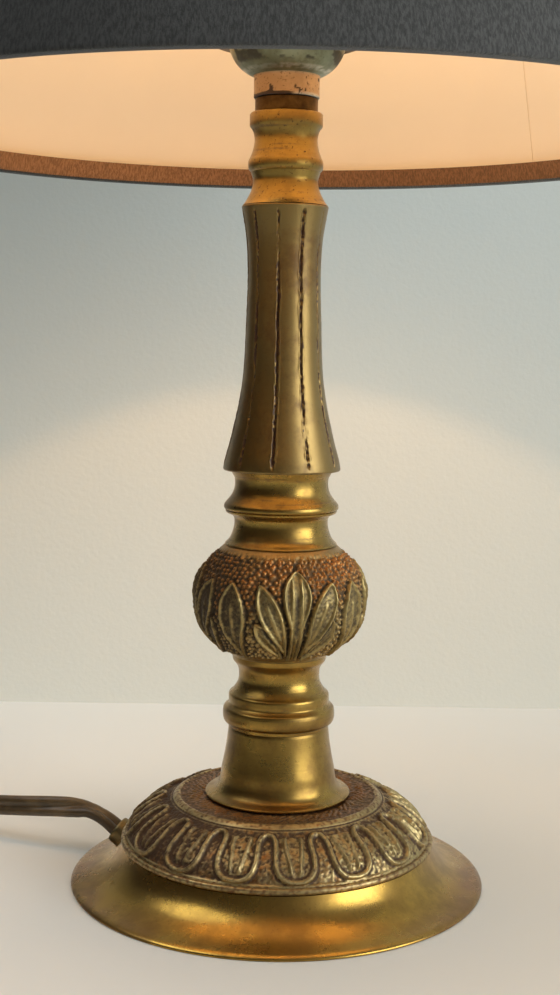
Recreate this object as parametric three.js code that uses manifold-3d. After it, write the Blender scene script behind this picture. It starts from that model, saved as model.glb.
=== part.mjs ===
// Table lamp with a cast and turned brass stem on a flared foot, and a conical fabric shade.
// Millimetres, +Z up. The origin is the centre of the foot's underside, and the front is -Y.
// A bearing is an angle about Z in degrees, 0 at the front and growing towards +X.
import * as THREE from 'three';
import { mergeVertices } from 'three/addons/utils/BufferGeometryUtils.js';
import Module from 'manifold-3d';

const wasm = await Module();
wasm.setup();

// Clearances
const SEAT = 0.2;          // between two flat faces that rest on each other
const CLEAR = 0.3;         // between two round faces, one inside the other
const ROD_PLAY = 0.5;      // round the rod, in the pieces that are stacked on it

// Facets round a turn
const BASE_FACETS = 36;
const STEM_FACETS = 24;
const BULB_FACETS = 20;
const SHADE_FACETS = 44;
const SMALL_FACETS = 16;

// Foot
const FOOT_RADIUS = 69;
const FOOT_WALL = 2;
const FOOT_LIP = 0.6;
const FOOT_REST = 4;        // width of the flat ring that it stands on
const BRIM_RADIUS = 67.2;
const BRIM_HEIGHT = 1.7;
const LEDGE_RADIUS = 51.4;
const LEDGE_HEIGHT = 12.9;
const LEDGE_WIDTH = 4.2;

// Ornamental ring
const BEAD_REACH = 1;             // beyond the foot's ledge
const BEAD_HEIGHT = 2.2;
const BAND_TOP_RADIUS = 34.6;
const BAND_HEIGHT = 13.1;
const PLATE_EDGE = 1.7;
const PLATE_RISE = 0.9;
const RING_WALL = 2.6;
const TONGUES = 16;
const TONGUE_BEARING = 7.1;
const TONGUE_RELIEF = 0.8;

// Ballast and felt
const BALLAST_CLEAR = 2.7;        // inside the foot's ledge
const BALLAST_TOP_CLEAR = 3;      // inside the ring's top
const BALLAST_RECESS = 22;
const BALLAST_WEB = 3;
const SLOT_WIDTH = 7;
const SLOT_HEIGHT = 8;
const FELT_THICKNESS = 1.2;
const FELT_BORE = 12;

// Rod and its fasteners
const ROD_RADIUS = 5;
const ROD_BORE = 4;
const ROD_END = 3;          // thread below the nut
const ROD_GRIP = 7;         // thread inside the lampholder cap
const WASHER_RADIUS = 11;
const WASHER_THICKNESS = 1.2;
const NUT_ACROSS_FLATS = 17;
const NUT_THICKNESS = 5;

// Stem, from the bottom up
const TRUMPET_LIP_RADIUS = 24.4;
const TRUMPET_LIP = 0.8;
const TRUMPET_COVE_RADIUS = 18.85;
const TRUMPET_COVE_HEIGHT = 8.8;
const TRUMPET_TOP_RADIUS = 16.6;
const TRUMPET_HEIGHT = 22.9;
const STEM_WALL = 3;

const LOWER_RING_RADIUS = 18.6;
const LOWER_RING_HEIGHT = 6.2;
const SECOND_RING_RADIUS = 16.75;
const SECOND_RING_HEIGHT = 2.8;
const WAIST_RADIUS = 13.4;
const WAIST_RISE = 15.2;
const KNOP_SEAT_RADIUS = 15.7;
const COLLARS_HEIGHT = 24;

const KNOP_RADIUS = 28.2;
const KNOP_FOOT_RADIUS = 16.2;
const KNOP_TOP_RADIUS = 18.6;
const KNOP_HEIGHT = 36.6;
const PALMETTES = 4;
const PALMETTE_BEARING = 11.4;
const LEAF_RELIEF = 0.9;

const NECK_LOW_RADIUS = 17.3;
const NECK_WAIST_RADIUS = 15.2;
const NECK_RING_RADIUS = 18.7;
const NECK_TOP_RADIUS = 16.5;
const NECK_HEIGHT = 24.2;

const COLUMN_FOOT_RADIUS = 19.15;
const COLUMN_WAIST_RADIUS = 11.75;
const COLUMN_TOP_RADIUS = 13.95;
const COLUMN_HEIGHT = 85.2;
const FLUTES = 10;
const FLUTE_BEARING = -11;
const FLUTE_DEPTH = 0.9;

const UPPER_FOOT_RADIUS = 13.8;
const UPPER_WAIST_RADIUS = 10.4;
const UPPER_RING_RADIUS = 12.1;
const TOP_RING_RADIUS = 11.75;
const UPPER_HEIGHT = 29;

const SPIGOT_RADIUS = 10.1;
const SPIGOT_HEIGHT = 4.3;

// Lampholder
const CAP_SLEEVE_RADIUS = 10.55;
const CAP_SLEEVE_HEIGHT = 6.9;
const CAP_RIM_RADIUS = 18.8;
const CAP_HEIGHT = 16.7;
const CAP_WALL = 1.2;
const CAP_RIM_WIDTH = 2.4;
const SHELL_HEIGHT = 42;
const SHELL_WALL = 0.9;
const INSULATOR_FLANGE = 2.4;
const INSULATOR_DROP = 4;
const INSULATOR_BOSS_HEIGHT = 2.6;
const THREAD_RADIUS = 13.4;
const THREAD_WALL = 0.5;
const THREAD_HEIGHT = 27.4;
const CONTACT_RADIUS = 4;
const CONTACT_HEIGHT = 1.5;
const TERMINAL_SIZE = 4;
const TERMINAL_SPACING = 12;
const SHADE_RING_RADIUS = 24.4;
const SHADE_RING_THICKNESS = 1.8;
const LOCK_RING_RADIUS = 23.6;
const LOCK_RING_THICKNESS = 3.5;

// Bulb
const BULB_LENGTH = 124;
const BULB_RADIUS = 32;
const BULB_CAP_LENGTH = 26;
const BULB_WALL = 1;
const BULB_BUTTON_RADIUS = 4.5;
const BULB_BUTTON_HEIGHT = 1.2;
const BULB_NECK_DEPTH = 8;

// Shade
const SHADE_BOTTOM_RADIUS = 150;
const SHADE_TOP_RADIUS = 100;
const SHADE_HEIGHT = 200;
const SHADE_DROP = 32.2;    // from the fitter down to the bottom rim
const FABRIC = 0.8;
const LINING = 0.5;
const HEM = 7.3;
const RIM_WIRE_RADIUS = 1.3;
const FITTER_RADIUS = 23.5;
const FITTER_THICKNESS = 1.2;
const FITTER_TAB = 5;
const ARM_RADIUS = 1.3;
const ARM_BEARINGS = [180, 300, 60];

// Flat twin cord
const CORD_WIDTH = 7.2;
const CORD_THICKNESS = 3.6;
const FLEX_RADIUS = 1.6;
const STRAIGHT_RUN = 4;     // at each end of a free stretch

// Cord bush, low on the foot at the back left
const BUSH_BEARING = -107;
const BUSH_RISE = 35;
const BUSH_SEAT_CLEAR = 3.8;      // outside the foot's ledge
const BUSH_SEAT_DROP = 5.5;       // below the foot's ledge
const BUSH_BARREL_RADIUS = 4.6;
const BUSH_FLANGE_RADIUS = 5.8;
const BUSH_INSIDE = 3.5;
const BUSH_OUTSIDE = 4.2;
const BUSH_WALL = 0.7;

// Coil of the cord
const COIL_CENTRE = new THREE.Vector2(-168, -22);
const COIL_OUTER_RADIUS = 51;
const COIL_INNER_RADIUS = 29;
const COIL_TURNS = 3;       // in each of its two layers
const COIL_STEPS = 24;      // in a turn
const COIL_LAYER_GAP = 0.5;
const TIE_WIDTH = 4;
const TIE_THICKNESS = 0.6;
const TIE_CLEAR = 0.4;
const TIE_SIDE_CLEAR = 0.9;
const TIE_FLOOR = 0.1;

// Inline switch
const SWITCH_CENTRE = new THREE.Vector2(-156, 43.5);
const SWITCH_LENGTH = 58;
const SWITCH_WIDTH = 24;
const SWITCH_END_WIDTH = 13;
const SWITCH_FLOOR = 0.3;
const SWITCH_BASE_HEIGHT = 8;
const SWITCH_COVER_HEIGHT = 8;
const ROCKER_LENGTH = 19.6;
const ROCKER_WIDTH = 10;
const ROCKER_PLAY = 0.5;
const ROCKER_TILT = 8;
const ROCKER_DEPTH = 3.2;   // of its pivot below the cover's top

// Plug
const PLUG_ENTRY = new THREE.Vector3(-228, -75, 7.2);
const PLUG_RELIEF_LENGTH = 22;
const PLUG_RELIEF_RADIUS = 4.3;
const PLUG_RELIEF_ROOT = 5.6;
const PLUG_LENGTH = 34;
const PLUG_WIDTH = 34;
const PLUG_SHOULDER = 16;
const PLUG_THICKNESS = 13.4;
const PIN_RADIUS = 2;
const PIN_SPACING = 19;
const PIN_LENGTH = 19;
const PIN_DEPTH = 6;

// Heights that follow from the sizes above
const ringBottom = LEDGE_HEIGHT + SEAT;
const bandBottom = ringBottom + BEAD_HEIGHT;
const plateTop = bandBottom + BAND_HEIGHT + PLATE_RISE;
const plateUnderside = plateTop - RING_WALL;
const trumpetBottom = plateTop + SEAT;
const collarsBottom = trumpetBottom + TRUMPET_HEIGHT + SEAT;
const knopBottom = collarsBottom + COLLARS_HEIGHT + SEAT;
const neckBottom = knopBottom + KNOP_HEIGHT + SEAT;
const columnBottom = neckBottom + NECK_HEIGHT + SEAT;
const upperBottom = columnBottom + COLUMN_HEIGHT + SEAT;
const spigotBottom = upperBottom + UPPER_HEIGHT + SEAT;
const capBottom = spigotBottom + SPIGOT_HEIGHT + SEAT;
const capTop = capBottom + CAP_HEIGHT;
const shellBottom = capTop + SEAT;
const flangeTop = shellBottom + INSULATOR_FLANGE;
const bossTop = flangeTop + INSULATOR_BOSS_HEIGHT;
const buttonBottom = bossTop + SEAT + CONTACT_HEIGHT + SEAT;
const shadeRingBottom = capTop + CLEAR;
const fitterBottom = shadeRingBottom + SHADE_RING_THICKNESS + CLEAR;
const lockRingBottom = fitterBottom + FITTER_THICKNESS + CLEAR;
const shadeBottom = fitterBottom - SHADE_DROP;
const webBottom = plateUnderside - SEAT - BALLAST_WEB;
const washerBottom = webBottom - SEAT - WASHER_THICKNESS;
const nutBottom = washerBottom - SEAT - NUT_THICKNESS;
const rodBottom = nutBottom - ROD_END;
const rodTop = capBottom + ROD_GRIP;
const rodHole = ROD_RADIUS + ROD_PLAY;
const feltTop = SEAT + FELT_THICKNESS;
const ballastRadius = LEDGE_RADIUS - LEDGE_WIDTH - BALLAST_CLEAR;
const ballastShoulder = BAND_TOP_RADIUS - RING_WALL - BALLAST_TOP_CLEAR;
const ballastBottom = feltTop + SEAT;

// The outline of a turned piece: radius and height, from the foot of its outer face upwards.
class Outline {
  constructor(radius, height) {
    this.points = [new THREE.Vector2(radius, height)];
  }

  line(radius, height) {
    this.points.push(new THREE.Vector2(radius, height));
    return this;
  }

  // A bow from the last point, drawn towards the point via.
  bow(viaRadius, viaHeight, radius, height, steps = 4) {
    const start = this.points[this.points.length - 1];
    const via = new THREE.Vector2(viaRadius, viaHeight);
    const curve = new THREE.QuadraticBezierCurve(start, via, new THREE.Vector2(radius, height));
    this.points.push(...curve.getPoints(steps).slice(1));
    return this;
  }

  // A half-round moulding that stands out to the given radius.
  ring(radius, height, steps = 4) {
    const start = this.points[this.points.length - 1];
    const reach = radius - start.x;
    const half = height / 2;
    for (let i = 1; i <= steps; i += 1) {
      const angle = (Math.PI * i) / steps;
      const z = start.y + half - half * Math.cos(angle);
      this.points.push(new THREE.Vector2(start.x + reach * Math.sin(angle), z));
    }
    return this;
  }

  // Closes the piece with a plain bore.
  bored(radius) {
    const first = this.points[0];
    const last = this.points[this.points.length - 1];
    return this.line(radius, last.y).line(radius, first.y).closed();
  }

  closed() {
    this.points.push(this.points[0].clone());
    return this.points;
  }
}

// The inner side of an outline, at the thickness of a wall.
function innerSide(points, wall) {
  return points.map((point, i) => {
    const before = points[Math.max(i - 1, 0)];
    const after = points[Math.min(i + 1, points.length - 1)];
    const along = after.clone().sub(before).normalize();
    return new THREE.Vector2(point.x - along.y * wall, point.y + along.x * wall);
  });
}

// Turns an outline about the axis, which then stands up. The first facet edge is at the bearing.
function turned(points, facets, bearing = 0) {
  const geometry = new THREE.LatheGeometry(points, facets, THREE.MathUtils.degToRad(bearing));
  return geometry.rotateX(Math.PI / 2);
}

// Moves the points of a turned piece in or out: relief(bearing, height) is the distance outwards.
function carved(geometry, relief) {
  const position = geometry.getAttribute('position');
  for (let i = 0; i < position.count; i += 1) {
    const x = position.getX(i);
    const y = position.getY(i);
    const radius = Math.hypot(x, y);
    const bearing = THREE.MathUtils.radToDeg(Math.atan2(x, -y));
    const share = 1 + relief(bearing, position.getZ(i), radius) / radius;
    position.setXY(i, x * share, y * share);
  }
  return geometry;
}

// How far a bearing is from the nearest of the copies of a pattern, in degrees.
function fromNearest(bearing, first, count) {
  const pitch = 360 / count;
  const turns = (bearing - first) / pitch;
  return Math.abs(turns - Math.round(turns)) * pitch;
}

function smooth(value, low, high) {
  return THREE.MathUtils.smoothstep(value, low, high);
}

// A direction or point at a bearing.
function atBearing(bearing, radius, height) {
  const angle = THREE.MathUtils.degToRad(bearing);
  return new THREE.Vector3(radius * Math.sin(angle), -radius * Math.cos(angle), height);
}

function bare(geometry) {
  const copy = geometry.clone();
  copy.deleteAttribute('normal');
  copy.deleteAttribute('uv');
  return mergeVertices(copy, 1e-3);
}

function solid(geometry) {
  const merged = bare(geometry);
  const made = new wasm.Mesh({
    numProp: 3,
    vertProperties: Float32Array.from(merged.getAttribute('position').array),
    triVerts: Uint32Array.from(merged.index.array),
  });
  return new wasm.Manifold(made);
}

function geometryOf(body) {
  const mesh = body.getMesh();
  const geometry = new THREE.BufferGeometry();
  geometry.setAttribute('position', new THREE.BufferAttribute(mesh.vertProperties, 3));
  geometry.setIndex(new THREE.BufferAttribute(mesh.triVerts, 1));
  return geometry;
}

function joined(...geometries) {
  return geometryOf(geometries.map(solid).reduce((whole, next) => whole.add(next)));
}

function cutBy(geometry, ...tools) {
  return geometryOf(tools.map(solid).reduce((left, tool) => left.subtract(tool), solid(geometry)));
}

// Turns a geometry made along +Z to point along a direction.
function pointed(geometry, direction) {
  const up = new THREE.Vector3(0, 0, 1);
  const turn = new THREE.Quaternion().setFromUnitVectors(up, direction.clone().normalize());
  return geometry.applyQuaternion(turn);
}

function rod(radius, length, facets = SMALL_FACETS) {
  return new THREE.CylinderGeometry(radius, radius, length, facets).rotateX(Math.PI / 2);
}

// A route through points chosen by hand, stepped evenly between one point and the next.
class Route extends THREE.CatmullRomCurve3 {
  getUtoTmapping(u) {
    return u;
  }
}

function swept(section, points, stepsBetween) {
  const route = new Route(points.map((p) => new THREE.Vector3(...p)), false, 'centripetal');
  const steps = (points.length - 1) * stepsBetween;
  return new THREE.ExtrudeGeometry(section, { steps, bevelEnabled: false, extrudePath: route });
}

function roundSection(radius, sides) {
  const corners = [];
  for (let i = 0; i < sides; i += 1) {
    const angle = (2 * Math.PI * i) / sides;
    corners.push(new THREE.Vector2(radius * Math.cos(angle), radius * Math.sin(angle)));
  }
  return new THREE.Shape(corners);
}

// The flat cord's section, standing on its edge.
function cordSection() {
  const high = CORD_WIDTH / 2;
  const wide = CORD_THICKNESS / 2;
  const shoulder = high - wide / 2;
  const corners = [
    [high, -wide / 2], [high, wide / 2], [shoulder, wide], [-shoulder, wide],
    [-high, wide / 2], [-high, -wide / 2], [-shoulder, -wide], [shoulder, -wide],
  ];
  return new THREE.Shape(corners.map(([x, y]) => new THREE.Vector2(x, y)));
}

const FINISHES = {
  brass: { color: 0x9a7b3c, roughness: 0.35, metalness: 1 },
  castBrass: { color: 0x6f5429, roughness: 0.5, metalness: 0.9 },
  darkRing: { color: 0x3a2a1c, roughness: 0.5, metalness: 0.8 },
  nickel: { color: 0x9c937c, roughness: 0.4, metalness: 0.9 },
  iron: { color: 0x3b3a38, roughness: 0.8, metalness: 0.6 },
  steel: { color: 0x9a9a96, roughness: 0.45, metalness: 0.9 },
  felt: { color: 0x3f4a3c, roughness: 1, metalness: 0 },
  porcelain: { color: 0xe9e6df, roughness: 0.3, metalness: 0 },
  glass: { color: 0xf6efe0, roughness: 0.4, metalness: 0 },
  velvet: { color: 0x4b4b4f, roughness: 1, metalness: 0 },
  lining: { color: 0xf2dcc0, roughness: 0.7, metalness: 0 },
  whiteWire: { color: 0xe6e2d8, roughness: 0.5, metalness: 0.1 },
  cord: { color: 0x5b4526, roughness: 0.45, metalness: 0 },
  fittings: { color: 0x2b241d, roughness: 0.5, metalness: 0 },
};

const lamp = new THREE.Group();
const shade = new THREE.Group();
const bulb = new THREE.Group();
const cord = new THREE.Group();
lamp.add(shade, bulb, cord);

function place(group, name, geometry, finish) {
  const mesh = new THREE.Mesh(geometry, new THREE.MeshStandardMaterial(FINISHES[finish]));
  mesh.name = name;
  group.add(mesh);
  return mesh;
}

// Foot

// The dish stands on a flat ring under its lip, and its wall rises from there.
function footOutline() {
  const cove = new Outline(BRIM_RADIUS, BRIM_HEIGHT)
    .bow(LEDGE_RADIUS + 1.2, BRIM_HEIGHT + 1.3, LEDGE_RADIUS, LEDGE_HEIGHT, 4)
    .line(LEDGE_RADIUS - LEDGE_WIDTH, LEDGE_HEIGHT)
    .points;
  const inside = innerSide(cove, FOOT_WALL).slice(1).reverse();
  const outline = new Outline(FOOT_RADIUS, 0).line(FOOT_RADIUS, FOOT_LIP);
  outline.points.push(...cove, ...inside);
  return outline.line(FOOT_RADIUS - FOOT_REST, 0).closed();
}

const bushSeatRadius = LEDGE_RADIUS + BUSH_SEAT_CLEAR;
const bushSeatHeight = LEDGE_HEIGHT - BUSH_SEAT_DROP;
const bushSeat = atBearing(BUSH_BEARING, bushSeatRadius, bushSeatHeight);
const bushRise = THREE.MathUtils.degToRad(BUSH_RISE);
const bushAxis = atBearing(BUSH_BEARING, Math.cos(bushRise), Math.sin(bushRise));

function foot() {
  const dish = turned(footOutline(), BASE_FACETS);
  const drill = rod(BUSH_BARREL_RADIUS + CLEAR, 2 * (BUSH_OUTSIDE + BUSH_INSIDE));
  pointed(drill, bushAxis).translate(bushSeat.x, bushSeat.y, bushSeat.z);
  return cutBy(dish, drill);
}

function cordBush() {
  const bore = BUSH_BARREL_RADIUS - BUSH_WALL;
  const outline = new Outline(BUSH_BARREL_RADIUS, -BUSH_INSIDE)
    .line(BUSH_BARREL_RADIUS, BUSH_OUTSIDE - 2.4)
    .line(BUSH_FLANGE_RADIUS, BUSH_OUTSIDE - 2)
    .line(BUSH_FLANGE_RADIUS, BUSH_OUTSIDE - 0.7)
    .line(BUSH_FLANGE_RADIUS - 0.7, BUSH_OUTSIDE)
    .bored(bore);
  return turned(outline, SMALL_FACETS);
}

// Relief of the tongues: a U that hangs from the plate's edge, and a narrow arch between two U's.
function tongueRelief(bearing, height, radius) {
  const share = (height - bandBottom) / BAND_HEIGHT;
  if (share < 0.04 || share > 0.96 || radius < BAND_TOP_RADIUS - PLATE_EDGE) {
    return 0;
  }
  const pitch = 360 / TONGUES;
  const away = fromNearest(bearing, TONGUE_BEARING, TONGUES) / pitch;
  const halfWidth = 0.32 * Math.sqrt(smooth(share, 0, 0.5));
  const tongue = 1 - smooth(away, halfWidth - 0.04, halfWidth + 0.08);
  const arch = smooth(away, 0.42, 0.5) * smooth(share, 0.2, 0.5);
  const fade = smooth(share, 0, 0.12) * (1 - smooth(share, 0.85, 1));
  return TONGUE_RELIEF * fade * Math.max(tongue, 0.7 * arch);
}

function tongueRing() {
  const bandTop = bandBottom + BAND_HEIGHT;
  const beadRadius = LEDGE_RADIUS + BEAD_REACH;
  const outline = new Outline(LEDGE_RADIUS, ringBottom)
    .ring(beadRadius, BEAD_HEIGHT, 3)
    .bow(beadRadius - 5.5, bandBottom + BAND_HEIGHT * 0.62, BAND_TOP_RADIUS, bandTop, 4)
    .line(BAND_TOP_RADIUS - PLATE_EDGE, plateTop)
    .line(rodHole, plateTop)
    .line(rodHole, plateUnderside)
    .line(BAND_TOP_RADIUS - RING_WALL, plateUnderside)
    .line(LEDGE_RADIUS - RING_WALL, ringBottom)
    .closed();
  return carved(turned(outline, 6 * TONGUES, TONGUE_BEARING), tongueRelief);
}

// The slot in the ballast lets the flex in from the bush.
function ballast() {
  const shoulder = plateUnderside - SEAT;
  const outline = new Outline(ballastRadius, ballastBottom)
    .line(ballastRadius, ringBottom + 0.9)
    .line(ballastShoulder, shoulder)
    .line(rodHole, shoulder)
    .line(rodHole, webBottom)
    .line(BALLAST_RECESS, webBottom)
    .line(BALLAST_RECESS, ballastBottom)
    .closed();
  const length = ballastRadius - BALLAST_RECESS + 4;
  const slot = new THREE.BoxGeometry(SLOT_WIDTH, length, 2 * SLOT_HEIGHT);
  slot.translate(0, -(ballastRadius + BALLAST_RECESS) / 2, ballastBottom);
  slot.rotateZ(THREE.MathUtils.degToRad(BUSH_BEARING));
  return cutBy(turned(outline, STEM_FACETS), slot);
}

function feltPad() {
  const outline = new Outline(ballastRadius, SEAT).line(ballastRadius, feltTop).bored(FELT_BORE);
  return turned(outline, STEM_FACETS);
}

function tieRod() {
  const outline = new Outline(ROD_RADIUS, rodBottom).line(ROD_RADIUS, rodTop).bored(ROD_BORE);
  return turned(outline, 16);
}

function washer() {
  const top = washerBottom + WASHER_THICKNESS;
  const outline = new Outline(WASHER_RADIUS, washerBottom).line(WASHER_RADIUS, top).bored(rodHole);
  return turned(outline, SMALL_FACETS);
}

function nut() {
  const hexagon = roundSection(NUT_ACROSS_FLATS / Math.sqrt(3), 6);
  const hole = new THREE.Path().absarc(0, 0, ROD_RADIUS + CLEAR, 0, 2 * Math.PI, true);
  hexagon.holes.push(hole);
  const options = { depth: NUT_THICKNESS, bevelEnabled: false, curveSegments: 8 };
  return new THREE.ExtrudeGeometry(hexagon, options).translate(0, 0, nutBottom);
}

place(lamp, 'foot', foot(), 'brass');
place(lamp, 'tongue_ring', tongueRing(), 'castBrass');
place(lamp, 'ballast', ballast(), 'iron');
place(lamp, 'felt_pad', feltPad(), 'felt');
place(lamp, 'tie_rod', tieRod(), 'steel');
place(lamp, 'rod_washer', washer(), 'steel');
place(lamp, 'rod_nut', nut(), 'steel');
const bush = place(lamp, 'cord_bush', cordBush(), 'brass');
bush.position.copy(bushSeat);
bush.quaternion.setFromUnitVectors(new THREE.Vector3(0, 0, 1), bushAxis);

// Stem

function trumpet() {
  const bottom = trumpetBottom;
  const top = bottom + TRUMPET_HEIGHT;
  const cove = bottom + TRUMPET_COVE_HEIGHT;
  const outline = new Outline(TRUMPET_LIP_RADIUS, bottom)
    .line(TRUMPET_LIP_RADIUS, bottom + TRUMPET_LIP)
    .bow(TRUMPET_COVE_RADIUS + 0.7, bottom + 2, TRUMPET_COVE_RADIUS, cove, 4)
    .bow(TRUMPET_TOP_RADIUS + 0.9, cove + 6, TRUMPET_TOP_RADIUS, top, 2)
    .line(rodHole, top)
    .line(rodHole, top - STEM_WALL)
    .line(TRUMPET_TOP_RADIUS - STEM_WALL, top - STEM_WALL)
    .line(TRUMPET_COVE_RADIUS - STEM_WALL, bottom)
    .closed();
  return turned(outline, STEM_FACETS);
}

function lowerCollars() {
  const z = collarsBottom;
  const top = z + COLLARS_HEIGHT;
  const ringTop = z + 0.9 + LOWER_RING_HEIGHT;
  const secondTop = ringTop + 1.7 + SECOND_RING_HEIGHT;
  const outline = new Outline(TRUMPET_TOP_RADIUS + 0.3, z)
    .line(TRUMPET_TOP_RADIUS + 0.5, z + 0.9)
    .bow(LOWER_RING_RADIUS + 0.1, z + 1, LOWER_RING_RADIUS, z + 3, 2)
    .line(LOWER_RING_RADIUS, ringTop - 1.6)
    .bow(LOWER_RING_RADIUS - 0.2, ringTop - 0.2, SECOND_RING_RADIUS + 0.3, ringTop, 2)
    .line(SECOND_RING_RADIUS, secondTop - 0.4)
    .line(SECOND_RING_RADIUS - 0.9, secondTop + 0.1)
    .bow(WAIST_RADIUS, z + WAIST_RISE - 1, WAIST_RADIUS, z + WAIST_RISE + 2, 3)
    .bow(WAIST_RADIUS + 0.2, z + WAIST_RISE + 5, KNOP_SEAT_RADIUS - 0.7, top - 2.6, 2)
    .line(KNOP_SEAT_RADIUS, top)
    .bored(rodHole);
  return turned(outline, STEM_FACETS);
}

// A leaf's cover of a point: 1 inside it and 0 outside. It narrows to a tip at the given share.
function leaf(away, share, width, tip) {
  const half = width * Math.sqrt(smooth(tip - share, 0, 0.45));
  return 1 - smooth(away, half - 1, half + 4);
}

// Relief of a palmette, an upright leaf with one that leans away on each side of it, and of the
// single leaf that stands between two palmettes.
function palmetteRelief(bearing, height, radius) {
  const share = (height - knopBottom) / KNOP_HEIGHT;
  if (share < 0.06 || share > 0.8 || radius < KNOP_FOOT_RADIUS) {
    return 0;
  }
  const away = fromNearest(bearing, PALMETTE_BEARING, PALMETTES);
  const upright = leaf(away, share, 9, 0.78);
  const leaning = leaf(Math.abs(away - 7 - 22 * share), share, 7, 0.65);
  const single = leaf(180 / PALMETTES - away, share, 9, 0.67);
  return LEAF_RELIEF * smooth(share, 0.06, 0.16) * Math.max(upright, leaning, single);
}

function knop() {
  const z = knopBottom;
  const top = z + KNOP_HEIGHT;
  const widest = z + 0.6 * KNOP_HEIGHT;
  const outline = new Outline(KNOP_FOOT_RADIUS, z)
    .line(KNOP_FOOT_RADIUS + 0.8, z + 0.8)
    .bow(KNOP_RADIUS - 2.3, z + 7, KNOP_RADIUS - 0.4, z + 0.35 * KNOP_HEIGHT, 4)
    .line(KNOP_RADIUS, widest)
    .bow(KNOP_RADIUS - 0.6, z + 0.77 * KNOP_HEIGHT, KNOP_TOP_RADIUS, top - 0.3, 4)
    .line(KNOP_TOP_RADIUS - 0.3, top)
    .line(rodHole, top)
    .line(rodHole, top - STEM_WALL)
    .line(KNOP_RADIUS - 2.4 * STEM_WALL, widest)
    .line(KNOP_RADIUS - 2.6 * STEM_WALL, z + 0.34 * KNOP_HEIGHT)
    .line(rodHole, z + STEM_WALL)
    .line(rodHole, z)
    .closed();
  return carved(turned(outline, 12 * PALMETTES, PALMETTE_BEARING), palmetteRelief);
}

function ringNeck() {
  const z = neckBottom;
  const outline = new Outline(NECK_LOW_RADIUS + 0.4, z)
    .bow(NECK_LOW_RADIUS - 0.8, z + 1.2, NECK_LOW_RADIUS - 1.4, z + 3.5, 2)
    .line(NECK_WAIST_RADIUS, z + 6)
    .bow(NECK_WAIST_RADIUS + 0.6, z + 8.4, NECK_RING_RADIUS - 1, z + 10, 2)
    .bow(NECK_RING_RADIUS + 0.2, z + 11, NECK_RING_RADIUS, z + 12.8, 2)
    .line(NECK_RING_RADIUS - 1, z + 14.4)
    .bow(NECK_WAIST_RADIUS, z + 17, NECK_WAIST_RADIUS - 0.1, z + 19.4, 3)
    .bow(NECK_WAIST_RADIUS + 0.2, z + 21.6, NECK_TOP_RADIUS, z + NECK_HEIGHT, 2)
    .bored(rodHole);
  return turned(outline, STEM_FACETS);
}

// The flutes are V grooves between slightly rounded lobes, and run out at both ends.
function fluteRelief(bearing, height, radius) {
  const share = (height - columnBottom) / COLUMN_HEIGHT;
  if (radius < rodHole + 1) {
    return 0;
  }
  const lobe = 180 / FLUTES;
  const away = fromNearest(bearing, FLUTE_BEARING, FLUTES) / lobe;
  const fade = smooth(share, 0.03, 0.2) * (1 - smooth(share, 0.94, 0.99));
  const crown = 0.3 * (1 - away) * (1 - away);
  const groove = FLUTE_DEPTH * (1 - smooth(away, 0, 0.3));
  return -fade * (crown + groove);
}

function flutedColumn() {
  const z = columnBottom;
  const top = z + COLUMN_HEIGHT;
  const waist = z + 0.76 * COLUMN_HEIGHT;
  const flare = z + 0.36 * COLUMN_HEIGHT;
  const outline = new Outline(COLUMN_FOOT_RADIUS - 0.3, z)
    .line(COLUMN_FOOT_RADIUS, z + 1.4)
    .bow(COLUMN_FOOT_RADIUS - 5, z + 18, COLUMN_WAIST_RADIUS + 1.2, flare, 3)
    .bow(COLUMN_WAIST_RADIUS + 0.1, flare + 17, COLUMN_WAIST_RADIUS, waist, 2)
    .bow(COLUMN_WAIST_RADIUS + 0.2, waist + 10, COLUMN_TOP_RADIUS, top - 0.4, 3)
    .line(COLUMN_TOP_RADIUS - 0.3, top)
    .bored(rodHole);
  return carved(turned(outline, 6 * FLUTES, FLUTE_BEARING), fluteRelief);
}

function upperNeck() {
  const z = upperBottom;
  const outline = new Outline(UPPER_FOOT_RADIUS, z)
    .bow(UPPER_WAIST_RADIUS + 0.6, z + 2.5, UPPER_WAIST_RADIUS, z + 7.4, 4)
    .line(UPPER_WAIST_RADIUS + 0.8, z + 10.8)
    .line(UPPER_RING_RADIUS, z + 12.1)
    .line(UPPER_RING_RADIUS, z + 14.1)
    .bow(UPPER_WAIST_RADIUS + 0.2, z + 16.4, UPPER_WAIST_RADIUS - 0.3, z + 21, 3)
    .bow(UPPER_WAIST_RADIUS, z + 23, TOP_RING_RADIUS, z + 25.2, 2)
    .line(TOP_RING_RADIUS, z + UPPER_HEIGHT)
    .bored(rodHole);
  return turned(outline, STEM_FACETS);
}

function spigot() {
  const top = spigotBottom + SPIGOT_HEIGHT;
  const outline = new Outline(SPIGOT_RADIUS, spigotBottom).line(SPIGOT_RADIUS, top).bored(rodHole);
  return turned(outline, STEM_FACETS);
}

place(lamp, 'trumpet', trumpet(), 'brass');
place(lamp, 'lower_collars', lowerCollars(), 'brass');
place(lamp, 'knop', knop(), 'castBrass');
place(lamp, 'ring_neck', ringNeck(), 'brass');
place(lamp, 'fluted_column', flutedColumn(), 'brass');
place(lamp, 'upper_neck', upperNeck(), 'brass');
place(lamp, 'spigot', spigot(), 'darkRing');

// Lampholder

const rimInside = CAP_RIM_RADIUS - CAP_RIM_WIDTH;
const shellInside = CAP_RIM_RADIUS - SHELL_WALL;

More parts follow.
